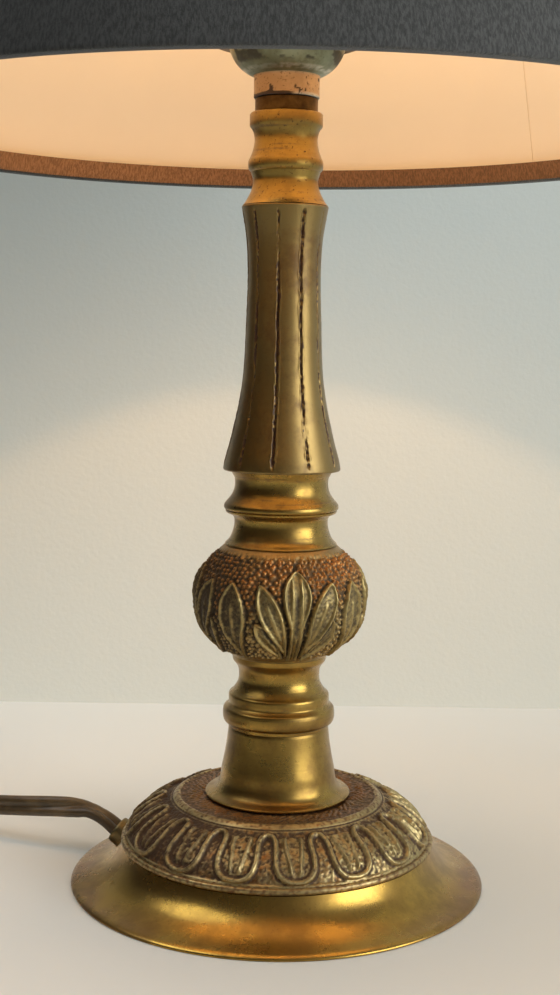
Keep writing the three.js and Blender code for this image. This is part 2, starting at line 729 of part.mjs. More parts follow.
function holderCap() {
  const z = capBottom;
  const shoulder = z + CAP_SLEEVE_HEIGHT;
  const outline = new Outline(CAP_SLEEVE_RADIUS, z)
    .line(CAP_SLEEVE_RADIUS, shoulder)
    .bow(CAP_RIM_RADIUS - 2.6, shoulder + 3, CAP_RIM_RADIUS, capTop, 5)
    .line(rimInside, capTop)
    .bow(rimInside - 1.6, shoulder + 4.4, CAP_SLEEVE_RADIUS - CAP_WALL, shoulder + 1.6, 3)
    .line(ROD_RADIUS + CLEAR, shoulder + 1.6)
    .line(ROD_RADIUS + CLEAR, z)
    .closed();
  return turned(outline, STEM_FACETS);
}

function holderShell() {
  const top = shellBottom + SHELL_HEIGHT;
  const outline = new Outline(CAP_RIM_RADIUS, shellBottom)
    .line(CAP_RIM_RADIUS, top)
    .line(THREAD_RADIUS + THREAD_WALL + 1, top)
    .line(THREAD_RADIUS + THREAD_WALL + 1, top - SHELL_WALL)
    .line(shellInside, top - SHELL_WALL)
    .line(shellInside, shellBottom)
    .closed();
  return turned(outline, STEM_FACETS);
}

function insulator() {
  const outline = new Outline(0, capTop - INSULATOR_DROP)
    .line(rimInside - 2.6, capTop - INSULATOR_DROP)
    .line(rimInside - CLEAR, shellBottom)
    .line(shellInside - CLEAR, shellBottom)
    .line(shellInside - CLEAR, flangeTop)
    .line(THREAD_RADIUS - CLEAR, flangeTop)
    .line(THREAD_RADIUS - CLEAR, bossTop)
    .line(0, bossTop);
  return turned(outline.points, BULB_FACETS);
}

function threadShell() {
  const bottom = flangeTop + SEAT;
  const outline = new Outline(THREAD_RADIUS + THREAD_WALL, bottom)
    .line(THREAD_RADIUS + THREAD_WALL, bottom + THREAD_HEIGHT)
    .bored(THREAD_RADIUS);
  return turned(outline, BULB_FACETS);
}

function centreContact() {
  const bottom = bossTop + SEAT;
  const outline = new Outline(0, bottom)
    .line(CONTACT_RADIUS, bottom)
    .line(CONTACT_RADIUS * 0.7, bottom + CONTACT_HEIGHT)
    .line(0, bottom + CONTACT_HEIGHT);
  return turned(outline.points, SMALL_FACETS);
}

function terminal(side) {
  const top = capTop - INSULATOR_DROP - SEAT;
  const block = new THREE.BoxGeometry(TERMINAL_SIZE, TERMINAL_SIZE, TERMINAL_SIZE / 2);
  return block.translate((side * TERMINAL_SPACING) / 2, 0, top - TERMINAL_SIZE / 4);
}

function clampRing(radius, bottom, thickness) {
  const outline = new Outline(radius - 0.5, bottom)
    .line(radius, bottom + 0.5)
    .line(radius, bottom + thickness)
    .bored(CAP_RIM_RADIUS + CLEAR);
  return turned(outline, STEM_FACETS);
}

place(lamp, 'holder_cap', holderCap(), 'nickel');
place(lamp, 'holder_shell', holderShell(), 'nickel');
place(lamp, 'holder_insulator', insulator(), 'porcelain');
place(lamp, 'thread_shell', threadShell(), 'brass');
place(lamp, 'centre_contact', centreContact(), 'brass');
place(lamp, 'terminal_left', terminal(-1), 'brass');
place(lamp, 'terminal_right', terminal(1), 'brass');
const shadeRing = clampRing(SHADE_RING_RADIUS, shadeRingBottom, SHADE_RING_THICKNESS);
place(lamp, 'shade_ring', shadeRing, 'darkRing');
const lockRing = clampRing(LOCK_RING_RADIUS, lockRingBottom, LOCK_RING_THICKNESS);
place(lamp, 'lock_ring', lockRing, 'darkRing');

// Bulb

const capRadius = THREAD_RADIUS - CLEAR;
const bulbCapBottom = buttonBottom + BULB_BUTTON_HEIGHT + SEAT;
const bulbCapTop = bulbCapBottom + BULB_CAP_LENGTH;

function bulbButton() {
  const outline = new Outline(0, buttonBottom)
    .line(BULB_BUTTON_RADIUS * 0.7, buttonBottom)
    .line(BULB_BUTTON_RADIUS, buttonBottom + BULB_BUTTON_HEIGHT)
    .line(0, buttonBottom + BULB_BUTTON_HEIGHT);
  return turned(outline.points, SMALL_FACETS);
}

function bulbCap() {
  const z = bulbCapBottom;
  const inside = capRadius - THREAD_WALL;
  const outline = new Outline(0, z)
    .line(2 * BULB_BUTTON_RADIUS, z)
    .line(capRadius, z + 3)
    .line(capRadius, bulbCapTop)
    .line(inside, bulbCapTop)
    .line(inside, z + 3 + THREAD_WALL)
    .line(2 * BULB_BUTTON_RADIUS, z + 2 * THREAD_WALL)
    .line(0, z + 2 * THREAD_WALL);
  return turned(outline.points, BULB_FACETS);
}

function bulbGlass() {
  const neck = capRadius - THREAD_WALL - CLEAR;
  const top = buttonBottom + BULB_LENGTH;
  const widest = top - BULB_RADIUS;
  const outer = new Outline(neck, bulbCapTop - BULB_NECK_DEPTH)
    .line(neck, bulbCapTop + 1)
    .bow(neck + 2, bulbCapTop + 12, (neck + BULB_RADIUS) / 2 + 1, widest - 21, 2)
    .bow(BULB_RADIUS, widest - 11, BULB_RADIUS, widest, 2)
    .bow(BULB_RADIUS, widest + 0.55 * BULB_RADIUS, 0.71 * BULB_RADIUS, top - 0.29 * BULB_RADIUS, 2)
    .bow(0.42 * BULB_RADIUS, top, 0, top, 1)
    .points;
  const inner = outer.map(({ x, y }) => {
    const share = Math.max(x - BULB_WALL, 0);
    const lowered = y > widest ? BULB_WALL * ((y - widest) / BULB_RADIUS) : 0;
    return new THREE.Vector2(share, y - lowered);
  });
  return turned([...outer, ...inner.reverse(), outer[0].clone()], BULB_FACETS);
}

place(bulb, 'bulb_button', bulbButton(), 'brass');
place(bulb, 'bulb_cap', bulbCap(), 'steel');
place(bulb, 'bulb_glass', bulbGlass(), 'glass');

// Shade: a point on the cone at a height above the bottom rim, and a depth inside the outer face

const shadeLean = (SHADE_BOTTOM_RADIUS - SHADE_TOP_RADIUS) / SHADE_HEIGHT;
const liningOutside = FABRIC + CLEAR;
const wireDepth = liningOutside + LINING + CLEAR + RIM_WIRE_RADIUS;
const hemDepth = wireDepth + RIM_WIRE_RADIUS + CLEAR;
const rimWireHeight = FABRIC + CLEAR + RIM_WIRE_RADIUS;
const topWireHeight = SHADE_HEIGHT - rimWireHeight;
const fitterReach = FITTER_RADIUS - 1 + FITTER_TAB;

function onCone(depth, height) {
  const radius = SHADE_BOTTOM_RADIUS - shadeLean * height - depth;
  return [radius, shadeBottom + height];
}

function shadeCover() {
  const top = SHADE_HEIGHT;
  const outline = new Outline(...onCone(0, 0))
    .line(...onCone(0, top))
    .line(...onCone(hemDepth + FABRIC, top))
    .line(...onCone(hemDepth + FABRIC, top - HEM))
    .line(...onCone(hemDepth, top - HEM))
    .line(...onCone(hemDepth, top - FABRIC))
    .line(...onCone(FABRIC, top - FABRIC))
    .line(...onCone(FABRIC, FABRIC))
    .line(...onCone(hemDepth, FABRIC))
    .line(...onCone(hemDepth, HEM))
    .line(...onCone(hemDepth + FABRIC, HEM))
    .line(...onCone(hemDepth + FABRIC, 0))
    .closed();
  return turned(outline, SHADE_FACETS);
}

function shadeLining() {
  const low = FABRIC + CLEAR;
  const high = SHADE_HEIGHT - FABRIC - CLEAR;
  const outline = new Outline(...onCone(liningOutside, low))
    .line(...onCone(liningOutside, high))
    .line(...onCone(liningOutside + LINING, high))
    .line(...onCone(liningOutside + LINING, low))
    .closed();
  return turned(outline, SHADE_FACETS);
}

function wireRing(height) {
  const [radius, z] = onCone(wireDepth, height);
  const sides = 4;
  const points = [];
  for (let i = 0; i <= sides; i += 1) {
    const angle = (2 * Math.PI * (i % sides)) / sides;
    const reach = RIM_WIRE_RADIUS * Math.cos(angle);
    points.push(new THREE.Vector2(radius + reach, z + RIM_WIRE_RADIUS * Math.sin(angle)));
  }
  return turned(points, SHADE_FACETS);
}

// A tab on the fitter reaches past the clamping rings, so that an arm can be welded to it.
function fitterTab(bearing) {
  const tab = new THREE.BoxGeometry(4 * ARM_RADIUS, FITTER_TAB, FITTER_THICKNESS);
  tab.translate(0, FITTER_TAB / 2 - fitterReach, fitterBottom + FITTER_THICKNESS / 2);
  return tab.rotateZ(THREE.MathUtils.degToRad(bearing));
}

function fitter() {
  const outline = new Outline(FITTER_RADIUS, fitterBottom)
    .line(FITTER_RADIUS, fitterBottom + FITTER_THICKNESS)
    .bored(CAP_RIM_RADIUS + 2 * CLEAR);
  return joined(turned(outline, STEM_FACETS), ...ARM_BEARINGS.map(fitterTab));
}

// The arms leave the tabs level, bend up, and enter the top hem from below.
function frameArm(bearing) {
  const level = fitterBottom + FITTER_THICKNESS / 2;
  const points = [
    [fitterReach + CLEAR, level],
    [fitterReach + 3, level],
    [fitterReach + 8.5, level + 3.5],
    [fitterReach + 12.5, level + 10],
    [fitterReach + 34, level + 70],
    onCone(wireDepth + 7, topWireHeight - 30),
    onCone(wireDepth + 0.5, topWireHeight - 13),
    onCone(wireDepth, topWireHeight - HEM),
    onCone(wireDepth, topWireHeight - RIM_WIRE_RADIUS - CLEAR),
  ];
  const route = points.map(([radius, z]) => atBearing(bearing, radius, z).toArray());
  return swept(roundSection(ARM_RADIUS, 6), route, 1);
}

place(shade, 'shade_cover', shadeCover(), 'velvet');
place(shade, 'shade_lining', shadeLining(), 'lining');
place(shade, 'shade_fitter', fitter(), 'whiteWire');
ARM_BEARINGS.forEach((bearing, i) => {
  place(shade, `shade_arm_${i + 1}`, frameArm(bearing), 'whiteWire');
});
place(shade, 'shade_top_wire', wireRing(topWireHeight), 'whiteWire');
place(shade, 'shade_rim_wire', wireRing(rimWireHeight), 'whiteWire');

// Flex inside the lamp: through the bush's inner end and the ballast's slot, and up the rod

function innerFlex() {
  const bushEnd = bushSeat.clone().addScaledVector(bushAxis, -BUSH_INSIDE - CLEAR);
  const slotLevel = ballastBottom + SLOT_HEIGHT / 2;
  const points = [
    bushEnd.toArray(),
    atBearing(BUSH_BEARING, ballastRadius + 2, slotLevel).toArray(),
    atBearing(BUSH_BEARING, BALLAST_RECESS, slotLevel).toArray(),
    atBearing(BUSH_BEARING, 12, slotLevel + 0.3).toArray(),
    atBearing(BUSH_BEARING, 6, slotLevel + 2.8).toArray(),
    atBearing(BUSH_BEARING, 2, rodBottom - 2.4).toArray(),
    [0, 0, rodBottom + 6],
    [0, 0, rodTop],
    [0, 0, capTop - INSULATOR_DROP - CLEAR],
  ];
  return swept(roundSection(FLEX_RADIUS, 8), points, 2);
}

place(lamp, 'inner_flex', innerFlex(), 'cord');

// Coil: the cord spirals in, climbs a layer where it turns back, and spirals out again

const coilLift = TIE_FLOOR + TIE_THICKNESS + TIE_CLEAR;
const lowLayer = coilLift + CORD_WIDTH / 2;
const layerPitch = CORD_WIDTH + COIL_LAYER_GAP;

function coilPoint(turns) {
  const reach = COIL_OUTER_RADIUS - COIL_INNER_RADIUS;
  const fromMiddle = turns - COIL_TURNS;
  const radius = COIL_INNER_RADIUS + (reach * Math.abs(fromMiddle)) / COIL_TURNS;
  const angle = Math.PI + 2 * Math.PI * turns;
  const climb = smooth(fromMiddle, -0.25, 0.25);
  return new THREE.Vector3(
    COIL_CENTRE.x + radius * Math.cos(angle),
    COIL_CENTRE.y + radius * Math.sin(angle),
    lowLayer + layerPitch * climb,
  );
}

function coilLine() {
  const points = [];
  const count = 2 * COIL_TURNS * COIL_STEPS;
  for (let i = 0; i <= count; i += 1) {
    points.push(coilPoint(i / COIL_STEPS));
  }
  const straight = new THREE.Vector3(0, CORD_WIDTH, 0);
  points.unshift(points[0].clone().add(straight));
  points.push(points[points.length - 1].clone().sub(straight));
  return points;
}

// A six-sided section of the flat cord at each point of the line, joined into one closed tube.
function coilTube(line) {
  const high = CORD_WIDTH / 2;
  const wide = CORD_THICKNESS / 2;
  const corners = [
    [high, 0], [high / 2, wide], [-high / 2, wide],
    [-high, 0], [-high / 2, -wide], [high / 2, -wide],
  ];
  const up = new THREE.Vector3(0, 0, 1);
  const positions = [];
  const indices = [];
  line.forEach((point, i) => {
    const before = line[Math.max(i - 1, 0)];
    const after = line[Math.min(i + 1, line.length - 1)];
    const across = after.clone().sub(before).cross(up).normalize();
    for (const [rise, side] of corners) {
      const corner = point.clone().addScaledVector(up, rise).addScaledVector(across, side);
      positions.push(...corner.toArray());
    }
  });
  const sides = corners.length;
  for (let i = 0; i + 1 < line.length; i += 1) {
    for (let k = 0; k < sides; k += 1) {
      const here = i * sides + k;
      const next = i * sides + ((k + 1) % sides);
      indices.push(here, next, here + sides, next, next + sides, here + sides);
    }
  }
  const last = (line.length - 1) * sides;
  for (let k = 1; k + 1 < sides; k += 1) {
    indices.push(0, k + 1, k);
    indices.push(last, last + k, last + k + 1);
  }
  const geometry = new THREE.BufferGeometry();
  geometry.setAttribute('position', new THREE.Float32BufferAttribute(positions, 3));
  geometry.setIndex(indices);
  return geometry;
}

// The least gap between two stretches of the coil that are more than half a turn apart.
function leastGap(geometry, sides) {
  const position = geometry.getAttribute('position');
  const here = new THREE.Vector3();
  const there = new THREE.Vector3();
  let least = Infinity;
  for (let i = 0; i < position.count; i += 1) {
    here.fromBufferAttribute(position, i);
    for (let j = i + (sides * COIL_STEPS) / 2; j < position.count; j += 1) {
      there.fromBufferAttribute(position, j);
      least = Math.min(least, here.distanceTo(there));
    }
  }
  return least;
}

const coilGeometry = coilTube(coilLine());
console.log('least gap of the coil to itself, mm:', leastGap(coilGeometry, 6).toFixed(2));

// The tie goes round the turns on the coil's side towards the lamp.
function coilTie() {
  const pitch = (COIL_OUTER_RADIUS - COIL_INNER_RADIUS) / COIL_TURNS;
  const margin = CORD_THICKNESS / 2 + TIE_SIDE_CLEAR;
  const left = COIL_INNER_RADIUS + pitch / 2 - margin;
  const right = COIL_OUTER_RADIUS - pitch / 2 + margin;
  const low = coilLift - TIE_CLEAR;
  const high = low + 2 * TIE_CLEAR + CORD_WIDTH + layerPitch;
  const wall = TIE_THICKNESS;
  const band = rectangle(THREE.Shape, left - wall, right + wall, low - wall, high + wall);
  band.holes.push(rectangle(THREE.Path, left, right, low, high));
  const geometry = new THREE.ExtrudeGeometry(band, { depth: TIE_WIDTH, bevelEnabled: false });
  return geometry.rotateX(Math.PI / 2).translate(COIL_CENTRE.x, COIL_CENTRE.y + TIE_WIDTH / 2, 0);
}

function rectangle(Kind, left, right, low, high) {
  const outline = new Kind();
  outline.moveTo(left, low);
  outline.lineTo(right, low);
  outline.lineTo(right, high);
  outline.lineTo(left, high);
  outline.lineTo(left, low);
  return outline;
}

place(cord, 'cord_coil', coilGeometry, 'cord');
place(cord, 'cord_tie', coilTie(), 'fittings');

// Free stretches of the cord

const switchMiddle = SWITCH_FLOOR + SWITCH_BASE_HEIGHT;
const switchRight = SWITCH_CENTRE.x + SWITCH_LENGTH / 2;
const switchLeft = SWITCH_CENTRE.x - SWITCH_LENGTH / 2;
const bushMouth = bushSeat.clone().addScaledVector(bushAxis, BUSH_OUTSIDE);
const switchEntry = new THREE.Vector3(switchRight, SWITCH_CENTRE.y, switchMiddle);
const switchOutlet = new THREE.Vector3(switchLeft, SWITCH_CENTRE.y, switchMiddle);
const coilRoute = coilLine();
const coilStart = coilRoute[0];
const coilEnd = coilRoute[coilRoute.length - 1];

// It rises out of the bush, arches over and comes down to the switch.
const LEAD_ROUTE = [
  [-62.8, 19.2, 14],
  [-66, 20.3, 15],
  [-70.8, 21.5, 15.4],
  [-75.9, 22.9, 15.3],
  [-83.4, 25.4, 14.6],
  [-91.1, 28.6, 13.6],
  [-99.1, 32.6, 12.4],
  [-107, 37, 11],
  [-115, 41.6, 9.4],
];
const MIDDLE_ROUTE = [
  [-196, 42.4, 7.2],
  [-201, 40.4, 6],
  [-206, 37.2, 5.2],
  [-212, 31, 4.8],
  [-216.2, 23, 4.7],
  [-218.5, 13.5, 4.7],
  [-219, 2, 4.7],
];
const TAIL_ROUTE = [
  [-219.2, -37, 12.4],
  [-220.4, -45, 12],
  [-223.2, -53.5, 10.4],
  [-226.6, -62.5, 8.4],
];

// A stretch leaves what it joins straight, for the gap and a little more.
function stretch(from, fromDirection, route, to, toDirection) {
  const start = from.clone().addScaledVector(fromDirection, CLEAR);
  const end = to.clone().addScaledVector(toDirection, CLEAR);
  const afterStart = start.clone().addScaledVector(fromDirection, STRAIGHT_RUN);
  const beforeEnd = end.clone().addScaledVector(toDirection, STRAIGHT_RUN);
  const points = [start.toArray(), afterStart.toArray(), ...route];
  return swept(cordSection(), [...points, beforeEnd.toArray(), end.toArray()], 1);
}

const toTheLeft = new THREE.Vector3(-1, 0, 0);
const toTheRight = new THREE.Vector3(1, 0, 0);
const toTheFront = new THREE.Vector3(0, -1, 0);
const toTheBack = new THREE.Vector3(0, 1, 0);

const lead = stretch(bushMouth, bushAxis, LEAD_ROUTE, switchEntry, toTheRight);
const middle = stretch(switchOutlet, toTheLeft, MIDDLE_ROUTE, coilStart, toTheBack);
const tail = stretch(coilEnd, toTheFront, TAIL_ROUTE, PLUG_ENTRY, toTheBack);
place(cord, 'cord_lead', lead, 'cord');
place(cord, 'cord_middle', middle, 'cord');
place(cord, 'cord_tail', tail, 'cord');

// Inline switch: two housing halves with a rocker between them

function switchPlan() {
  const long = SWITCH_LENGTH / 2;
  const wide = SWITCH_WIDTH / 2;
  const narrow = SWITCH_END_WIDTH / 2;
  const plan = new THREE.Shape();
  plan.moveTo(long, -narrow);
  plan.lineTo(long, narrow);
  plan.quadraticCurveTo(0.72 * long, wide, 0.4 * long, wide);
  plan.lineTo(-0.4 * long, wide);
  plan.quadraticCurveTo(-0.72 * long, wide, -long, narrow);
  plan.lineTo(-long, -narrow);
  plan.quadraticCurveTo(-0.72 * long, -wide, -0.4 * long, -wide);
  plan.lineTo(0.4 * long, -wide);
  plan.quadraticCurveTo(0.72 * long, -wide, long, -narrow);
  return plan;
}

function switchHalf(plan, bottom, height, edge) {
  const options = { depth: height - edge, bevelThickness: edge, bevelSize: edge, bevelOffset: -edge };
  const half = new THREE.ExtrudeGeometry(plan, { ...options, bevelSegments: 1, curveSegments: 3 });
  return half.translate(SWITCH_CENTRE.x, SWITCH_CENTRE.y, bottom);
}

function switchBase() {
  const whole = switchHalf(switchPlan(), SWITCH_FLOOR + 1, SWITCH_BASE_HEIGHT, 1);
  return levelled(whole, SWITCH_FLOOR, SWITCH_FLOOR + SWITCH_BASE_HEIGHT - SEAT);
}

const coverBottom = SWITCH_FLOOR + SWITCH_BASE_HEIGHT;
const coverTop = coverBottom + SWITCH_COVER_HEIGHT;

function switchCover() {
  const whole = switchHalf(switchPlan(), coverBottom - 1, SWITCH_COVER_HEIGHT + 1, 1);
  const kept = levelled(whole, coverBottom, coverTop);
  const length = ROCKER_LENGTH + 2 * ROCKER_PLAY;
  const width = ROCKER_WIDTH + 2 * CLEAR;
  const window = new THREE.BoxGeometry(length, width, 3 * SWITCH_COVER_HEIGHT);
  window.translate(SWITCH_CENTRE.x, SWITCH_CENTRE.y, coverBottom);
  return cutBy(kept, window);
}

// Keeps what lies between two heights.
function levelled(geometry, low, high) {
  const span = 4 * SWITCH_LENGTH;
  const slab = new THREE.BoxGeometry(span, span, high - low);
  slab.translate(SWITCH_CENTRE.x, SWITCH_CENTRE.y, (low + high) / 2);
  return geometryOf(solid(geometry).intersect(solid(slab)));
}

// A shallow V on top and a round belly; it rests with its far end pressed, which is on.
function rocker() {
  const reach = ROCKER_LENGTH / 2;
  const end = THREE.MathUtils.degToRad(26);
  const side = new THREE.Shape();
  side.moveTo(reach * Math.cos(end), reach * Math.sin(end));
  side.lineTo(0, 2.2);
  side.lineTo(-reach * Math.cos(end), reach * Math.sin(end));
  side.lineTo(-reach, 0);
  side.quadraticCurveTo(-0.6 * reach, -4.6, 0, -4.6);
  side.quadraticCurveTo(0.6 * reach, -4.6, reach, 0);
  side.lineTo(reach * Math.cos(end), reach * Math.sin(end));
  const options = { depth: ROCKER_WIDTH, bevelEnabled: false, curveSegments: 3 };
  const key = new THREE.ExtrudeGeometry(side, options);
  key.rotateX(Math.PI / 2).translate(0, ROCKER_WIDTH / 2, 0);
  key.rotateY(THREE.MathUtils.degToRad(-ROCKER_TILT));
  return key.translate(SWITCH_CENTRE.x, SWITCH_CENTRE.y, coverTop - ROCKER_DEPTH);
}

place(cord, 'switch_base', switchBase(), 'fittings');
place(cord, 'switch_cover', switchCover(), 'fittings');
place(cord, 'switch_rocker', rocker(), 'fittings');

// Plug, lying flat with its pins towards the front

function plugBody() {
  const wide = PLUG_WIDTH / 2;
  const narrow = PLUG_SHOULDER / 2;
  const plan = new THREE.Shape();
  plan.moveTo(-wide, 0);
  plan.lineTo(-wide, 0.42 * PLUG_LENGTH);
  plan.quadraticCurveTo(-wide, 0.72 * PLUG_LENGTH, -narrow, PLUG_LENGTH);
  plan.lineTo(narrow, PLUG_LENGTH);
  plan.quadraticCurveTo(wide, 0.72 * PLUG_LENGTH, wide, 0.42 * PLUG_LENGTH);
  plan.lineTo(wide, 0);
  plan.lineTo(-wide, 0);
  const edge = 1.5;
  const options = {
    depth: PLUG_THICKNESS - 2 * edge,
    bevelThickness: edge,
    bevelSize: edge,
    bevelOffset: -edge,
    bevelSegments: 1,
    curveSegments: 4,
  };
  const body = new THREE.ExtrudeGeometry(plan, options);
  body.translate(0, 0, edge - PLUG_THICKNESS / 2);
  const length = PLUG_RELIEF_LENGTH + 3;
  const relief = new THREE.CylinderGeometry(PLUG_RELIEF_RADIUS, PLUG_RELIEF_ROOT, length, 12);
  relief.translate(0, PLUG_LENGTH + length / 2 - 3, 0);
  const sockets = [-1, 1].map((side) => {
    const socket = new THREE.CylinderGeometry(PIN_RADIUS + CLEAR, PIN_RADIUS + CLEAR, 2 * PIN_DEPTH, 12);
    return socket.translate((side * PIN_SPACING) / 2, 0, 0);
  });
  return cutBy(joined(body, relief), ...sockets);
}

function plugPin() {
  const outline = new Outline(0, -PIN_LENGTH)
    .line(0.6 * PIN_RADIUS, -PIN_LENGTH)
    .line(PIN_RADIUS, 1.6 - PIN_LENGTH)
    .line(PIN_RADIUS, PIN_DEPTH - CLEAR)
    .line(0, PIN_DEPTH - CLEAR);
  return turned(outline.points, 12).rotateX(-Math.PI / 2);
}

const plug = new THREE.Group();
plug.position.set(PLUG_ENTRY.x, PLUG_ENTRY.y - PLUG_RELIEF_LENGTH - PLUG_LENGTH, PLUG_ENTRY.z);
cord.add(plug);
place(plug, 'plug_body', plugBody(), 'fittings');
place(plug, 'plug_pin_left', plugPin(), 'nickel').position.x = -PIN_SPACING / 2;
place(plug, 'plug_pin_right', plugPin(), 'nickel').position.x = PIN_SPACING / 2;

export default lamp;
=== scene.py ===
import math
from bisect import bisect_right
from functools import lru_cache

import bmesh
import bpy
from bpy.props import FloatProperty, FloatVectorProperty, IntProperty, PointerProperty
from mathutils import Matrix, Vector, noise
from mathutils.geometry import interpolate_bezier


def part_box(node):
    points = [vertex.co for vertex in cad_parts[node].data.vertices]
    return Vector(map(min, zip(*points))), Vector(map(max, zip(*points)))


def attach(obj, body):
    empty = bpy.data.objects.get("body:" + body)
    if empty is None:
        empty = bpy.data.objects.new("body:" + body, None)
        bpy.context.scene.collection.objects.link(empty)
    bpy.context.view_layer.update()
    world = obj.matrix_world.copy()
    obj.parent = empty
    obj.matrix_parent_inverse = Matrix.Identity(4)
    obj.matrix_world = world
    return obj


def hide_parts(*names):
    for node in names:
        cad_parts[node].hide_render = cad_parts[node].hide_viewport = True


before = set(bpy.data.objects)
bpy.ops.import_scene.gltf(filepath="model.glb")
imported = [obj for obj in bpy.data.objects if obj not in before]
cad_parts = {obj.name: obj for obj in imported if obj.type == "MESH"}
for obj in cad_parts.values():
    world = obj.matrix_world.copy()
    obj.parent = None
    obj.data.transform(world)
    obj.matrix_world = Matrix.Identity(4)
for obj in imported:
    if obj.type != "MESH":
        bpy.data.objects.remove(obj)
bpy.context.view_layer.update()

bl_info = {
    "name": "Brass Table Lamp",
    "version": (1, 0, 0),
    "blender": (4, 5, 0),
    "location": "3D View > Sidebar > Lamp",
    "description": "Finishes, relief, shade, cord and stage of a brass table lamp",
    "category": "Object",
}

# Lengths are millimetres, but places and sizes of the stage are metres. A bearing is an angle
# about Z in degrees, 0 at the front (-Y) and growing towards +X. A relief gives, for a bearing,
# radius and height, how far a point moves out, how deep in a recess it lies and how far it
# belongs to the ground between ornaments. On the cast ring and the knop the recess value also
# carries painted shade towards the left.
MM = 0.001


@lru_cache(maxsize=None)
def node_range(node):
    """The lowest and highest height of a node, in millimetres."""
    low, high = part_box(node)
    return low[2] / MM, high[2] / MM


def node_radius(node):
    """The largest radius of a turned node about the stem's axis, in millimetres."""
    low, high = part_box(node)
    return (high[1] - low[1]) / 2 / MM


# Sizes and colours that a user would change


class LampSizes(bpy.types.PropertyGroup):
    tongue_count: IntProperty(name="Tongues", description="Tongues round the cast ring", default=16)
    tongue_height: FloatProperty(
        name="Tongue Outline", description="How far a tongue's outline stands out, in millimetres",
        default=0.9)
    palmette_count: IntProperty(name="Palmettes", description="Palmettes round the knop", default=4)
    leaf_height: FloatProperty(
        name="Leaf Outline", description="How far a leaf's outline stands out, in millimetres",
        default=1.0)
    flute_count: IntProperty(name="Flutes", description="Grooves round the column", default=10)
    flute_depth: FloatProperty(
        name="Flute Depth", description="Depth of the column's grooves, in millimetres",
        default=0.8)
    hem_width: FloatProperty(
        name="Hem", description="Width of the hem inside the shade, in millimetres", default=7.3)


class LampColours(bpy.types.PropertyGroup):
    brass: FloatVectorProperty(
        name="Brass", description="Rubbed brass", subtype="COLOR", default=(0.38, 0.228, 0.042))
    tarnish: FloatVectorProperty(
        name="Tarnish", description="Brass under a brown film", subtype="COLOR",
        default=(0.14, 0.068, 0.014))
    deposit: FloatVectorProperty(
        name="Deposit", description="Red-brown dirt in the recesses", subtype="COLOR",
        default=(0.075, 0.032, 0.011))
    velvet: FloatVectorProperty(
        name="Velvet", description="Shade cover", subtype="COLOR", default=(0.076, 0.074, 0.071))
    lining: FloatVectorProperty(
        name="Lining", description="Shade lining", subtype="COLOR", default=(0.80, 0.70, 0.57))
    flex: FloatVectorProperty(
        name="Flex", description="Brown and gold cord", subtype="COLOR",
        default=(0.12, 0.078, 0.034))


class StageSettings(bpy.types.PropertyGroup):
    lens: FloatProperty(name="Lens", description="Focal length in millimetres", default=51.98)
    pitch: FloatProperty(
        name="Pitch", description="Downward tilt of the camera", subtype="ANGLE", default=0.10833)
    roll: FloatProperty(
        name="Roll", description="Lean of the camera", subtype="ANGLE", default=0.0132)
    wall_distance: FloatProperty(
        name="Wall", description="Distance of the wall behind the stem", unit="LENGTH",
        default=0.229)


# Meshes


class Profile:
    """The outline of a turned piece in millimetres: radius and height, from the foot upwards.

    Heights are given above the base."""

    def __init__(self, radius, height, base=0.0):
        self.base = base
        self.points = [(radius, base + height)]

    def line(self, radius, height, steps=1):
        radius_0, height_0 = self.points[-1]
        rise = self.base + height - height_0
        for i in range(1, steps + 1):
            share = i / steps
            self.points.append((radius_0 + (radius - radius_0) * share, height_0 + rise * share))
        return self

    def bow(self, via_radius, via_height, radius, height, steps=8):
        """A bow that leaves towards the via point and arrives from it."""
        radius_0, height_0 = self.points[-1]
        via_height += self.base
        height += self.base
        for i in range(1, steps + 1):
            t = i / steps
            a, b, c = (1 - t) ** 2, 2 * t * (1 - t), t ** 2
            self.points.append((
                a * radius_0 + b * via_radius + c * radius,
                a * height_0 + b * via_height + c * height,
            ))
        return self

    def smooth(self, *points, steps=4):
        """A smooth line on through points, each with the same number of steps before it."""
        knots = [Vector(self.points[-1])]
        knots += [Vector((radius, self.base + height)) for radius, height in points]
        for i in range(len(knots) - 1):
            before = knots[max(i - 1, 0)]
            after = knots[min(i + 2, len(knots) - 1)]
            start, end = knots[i], knots[i + 1]
            for k in range(1, steps + 1):
                t = k / steps
                point = 0.5 * (
                    2 * start + (end - before) * t
                    + (2 * before - 5 * start + 4 * end - after) * t ** 2
                    + (3 * start - before - 3 * end + after) * t ** 3)
                self.points.append((point.x, point.y))
        return self

    def bored(self, radius):
        """Closes the outline round a hole through the piece."""
        low, high = self.points[0][1], self.points[-1][1]
        self.points += [(radius, high), (radius, low)]
        return self


def profile_of(node, radius):
    """A profile that starts at a node's foot, and the node's height."""
    low, high = node_range(node)
    return Profile(radius, 0, low), high - low


def at_bearing(bearing, radius, height):
    angle = math.radians(bearing)
    return Vector((radius * math.sin(angle), -radius * math.cos(angle), height))


def smoothstep(value, low, high):
    """0 up to low and 1 from high on, smooth between; high may be the lesser of the two."""
    share = min(max((value - low) / (high - low), 0.0), 1.0)
    return share * share * (3 - 2 * share)


def from_nearest(bearing, first, count):
    """The signed angle from a bearing to the nearest copy of a pattern, in degrees."""
    pitch = 360 / count
    turns = (bearing - first) / pitch
    return (turns - round(turns)) * pitch


def finish_shape(shape, name, crease=38):
    """Makes a bmesh an object, smooth except along edges sharper than crease degrees."""
    for face in shape.faces:
        face.smooth = True
    for edge in shape.edges:
        if len(edge.link_faces) == 2:
            edge.smooth = edge.calc_face_angle(0) < math.radians(crease)
    mesh = bpy.data.meshes.new(name)
    shape.to_mesh(mesh)
    shape.free()
    piece = bpy.data.objects.new(name, mesh)
    bpy.context.scene.collection.objects.link(piece)
    return piece


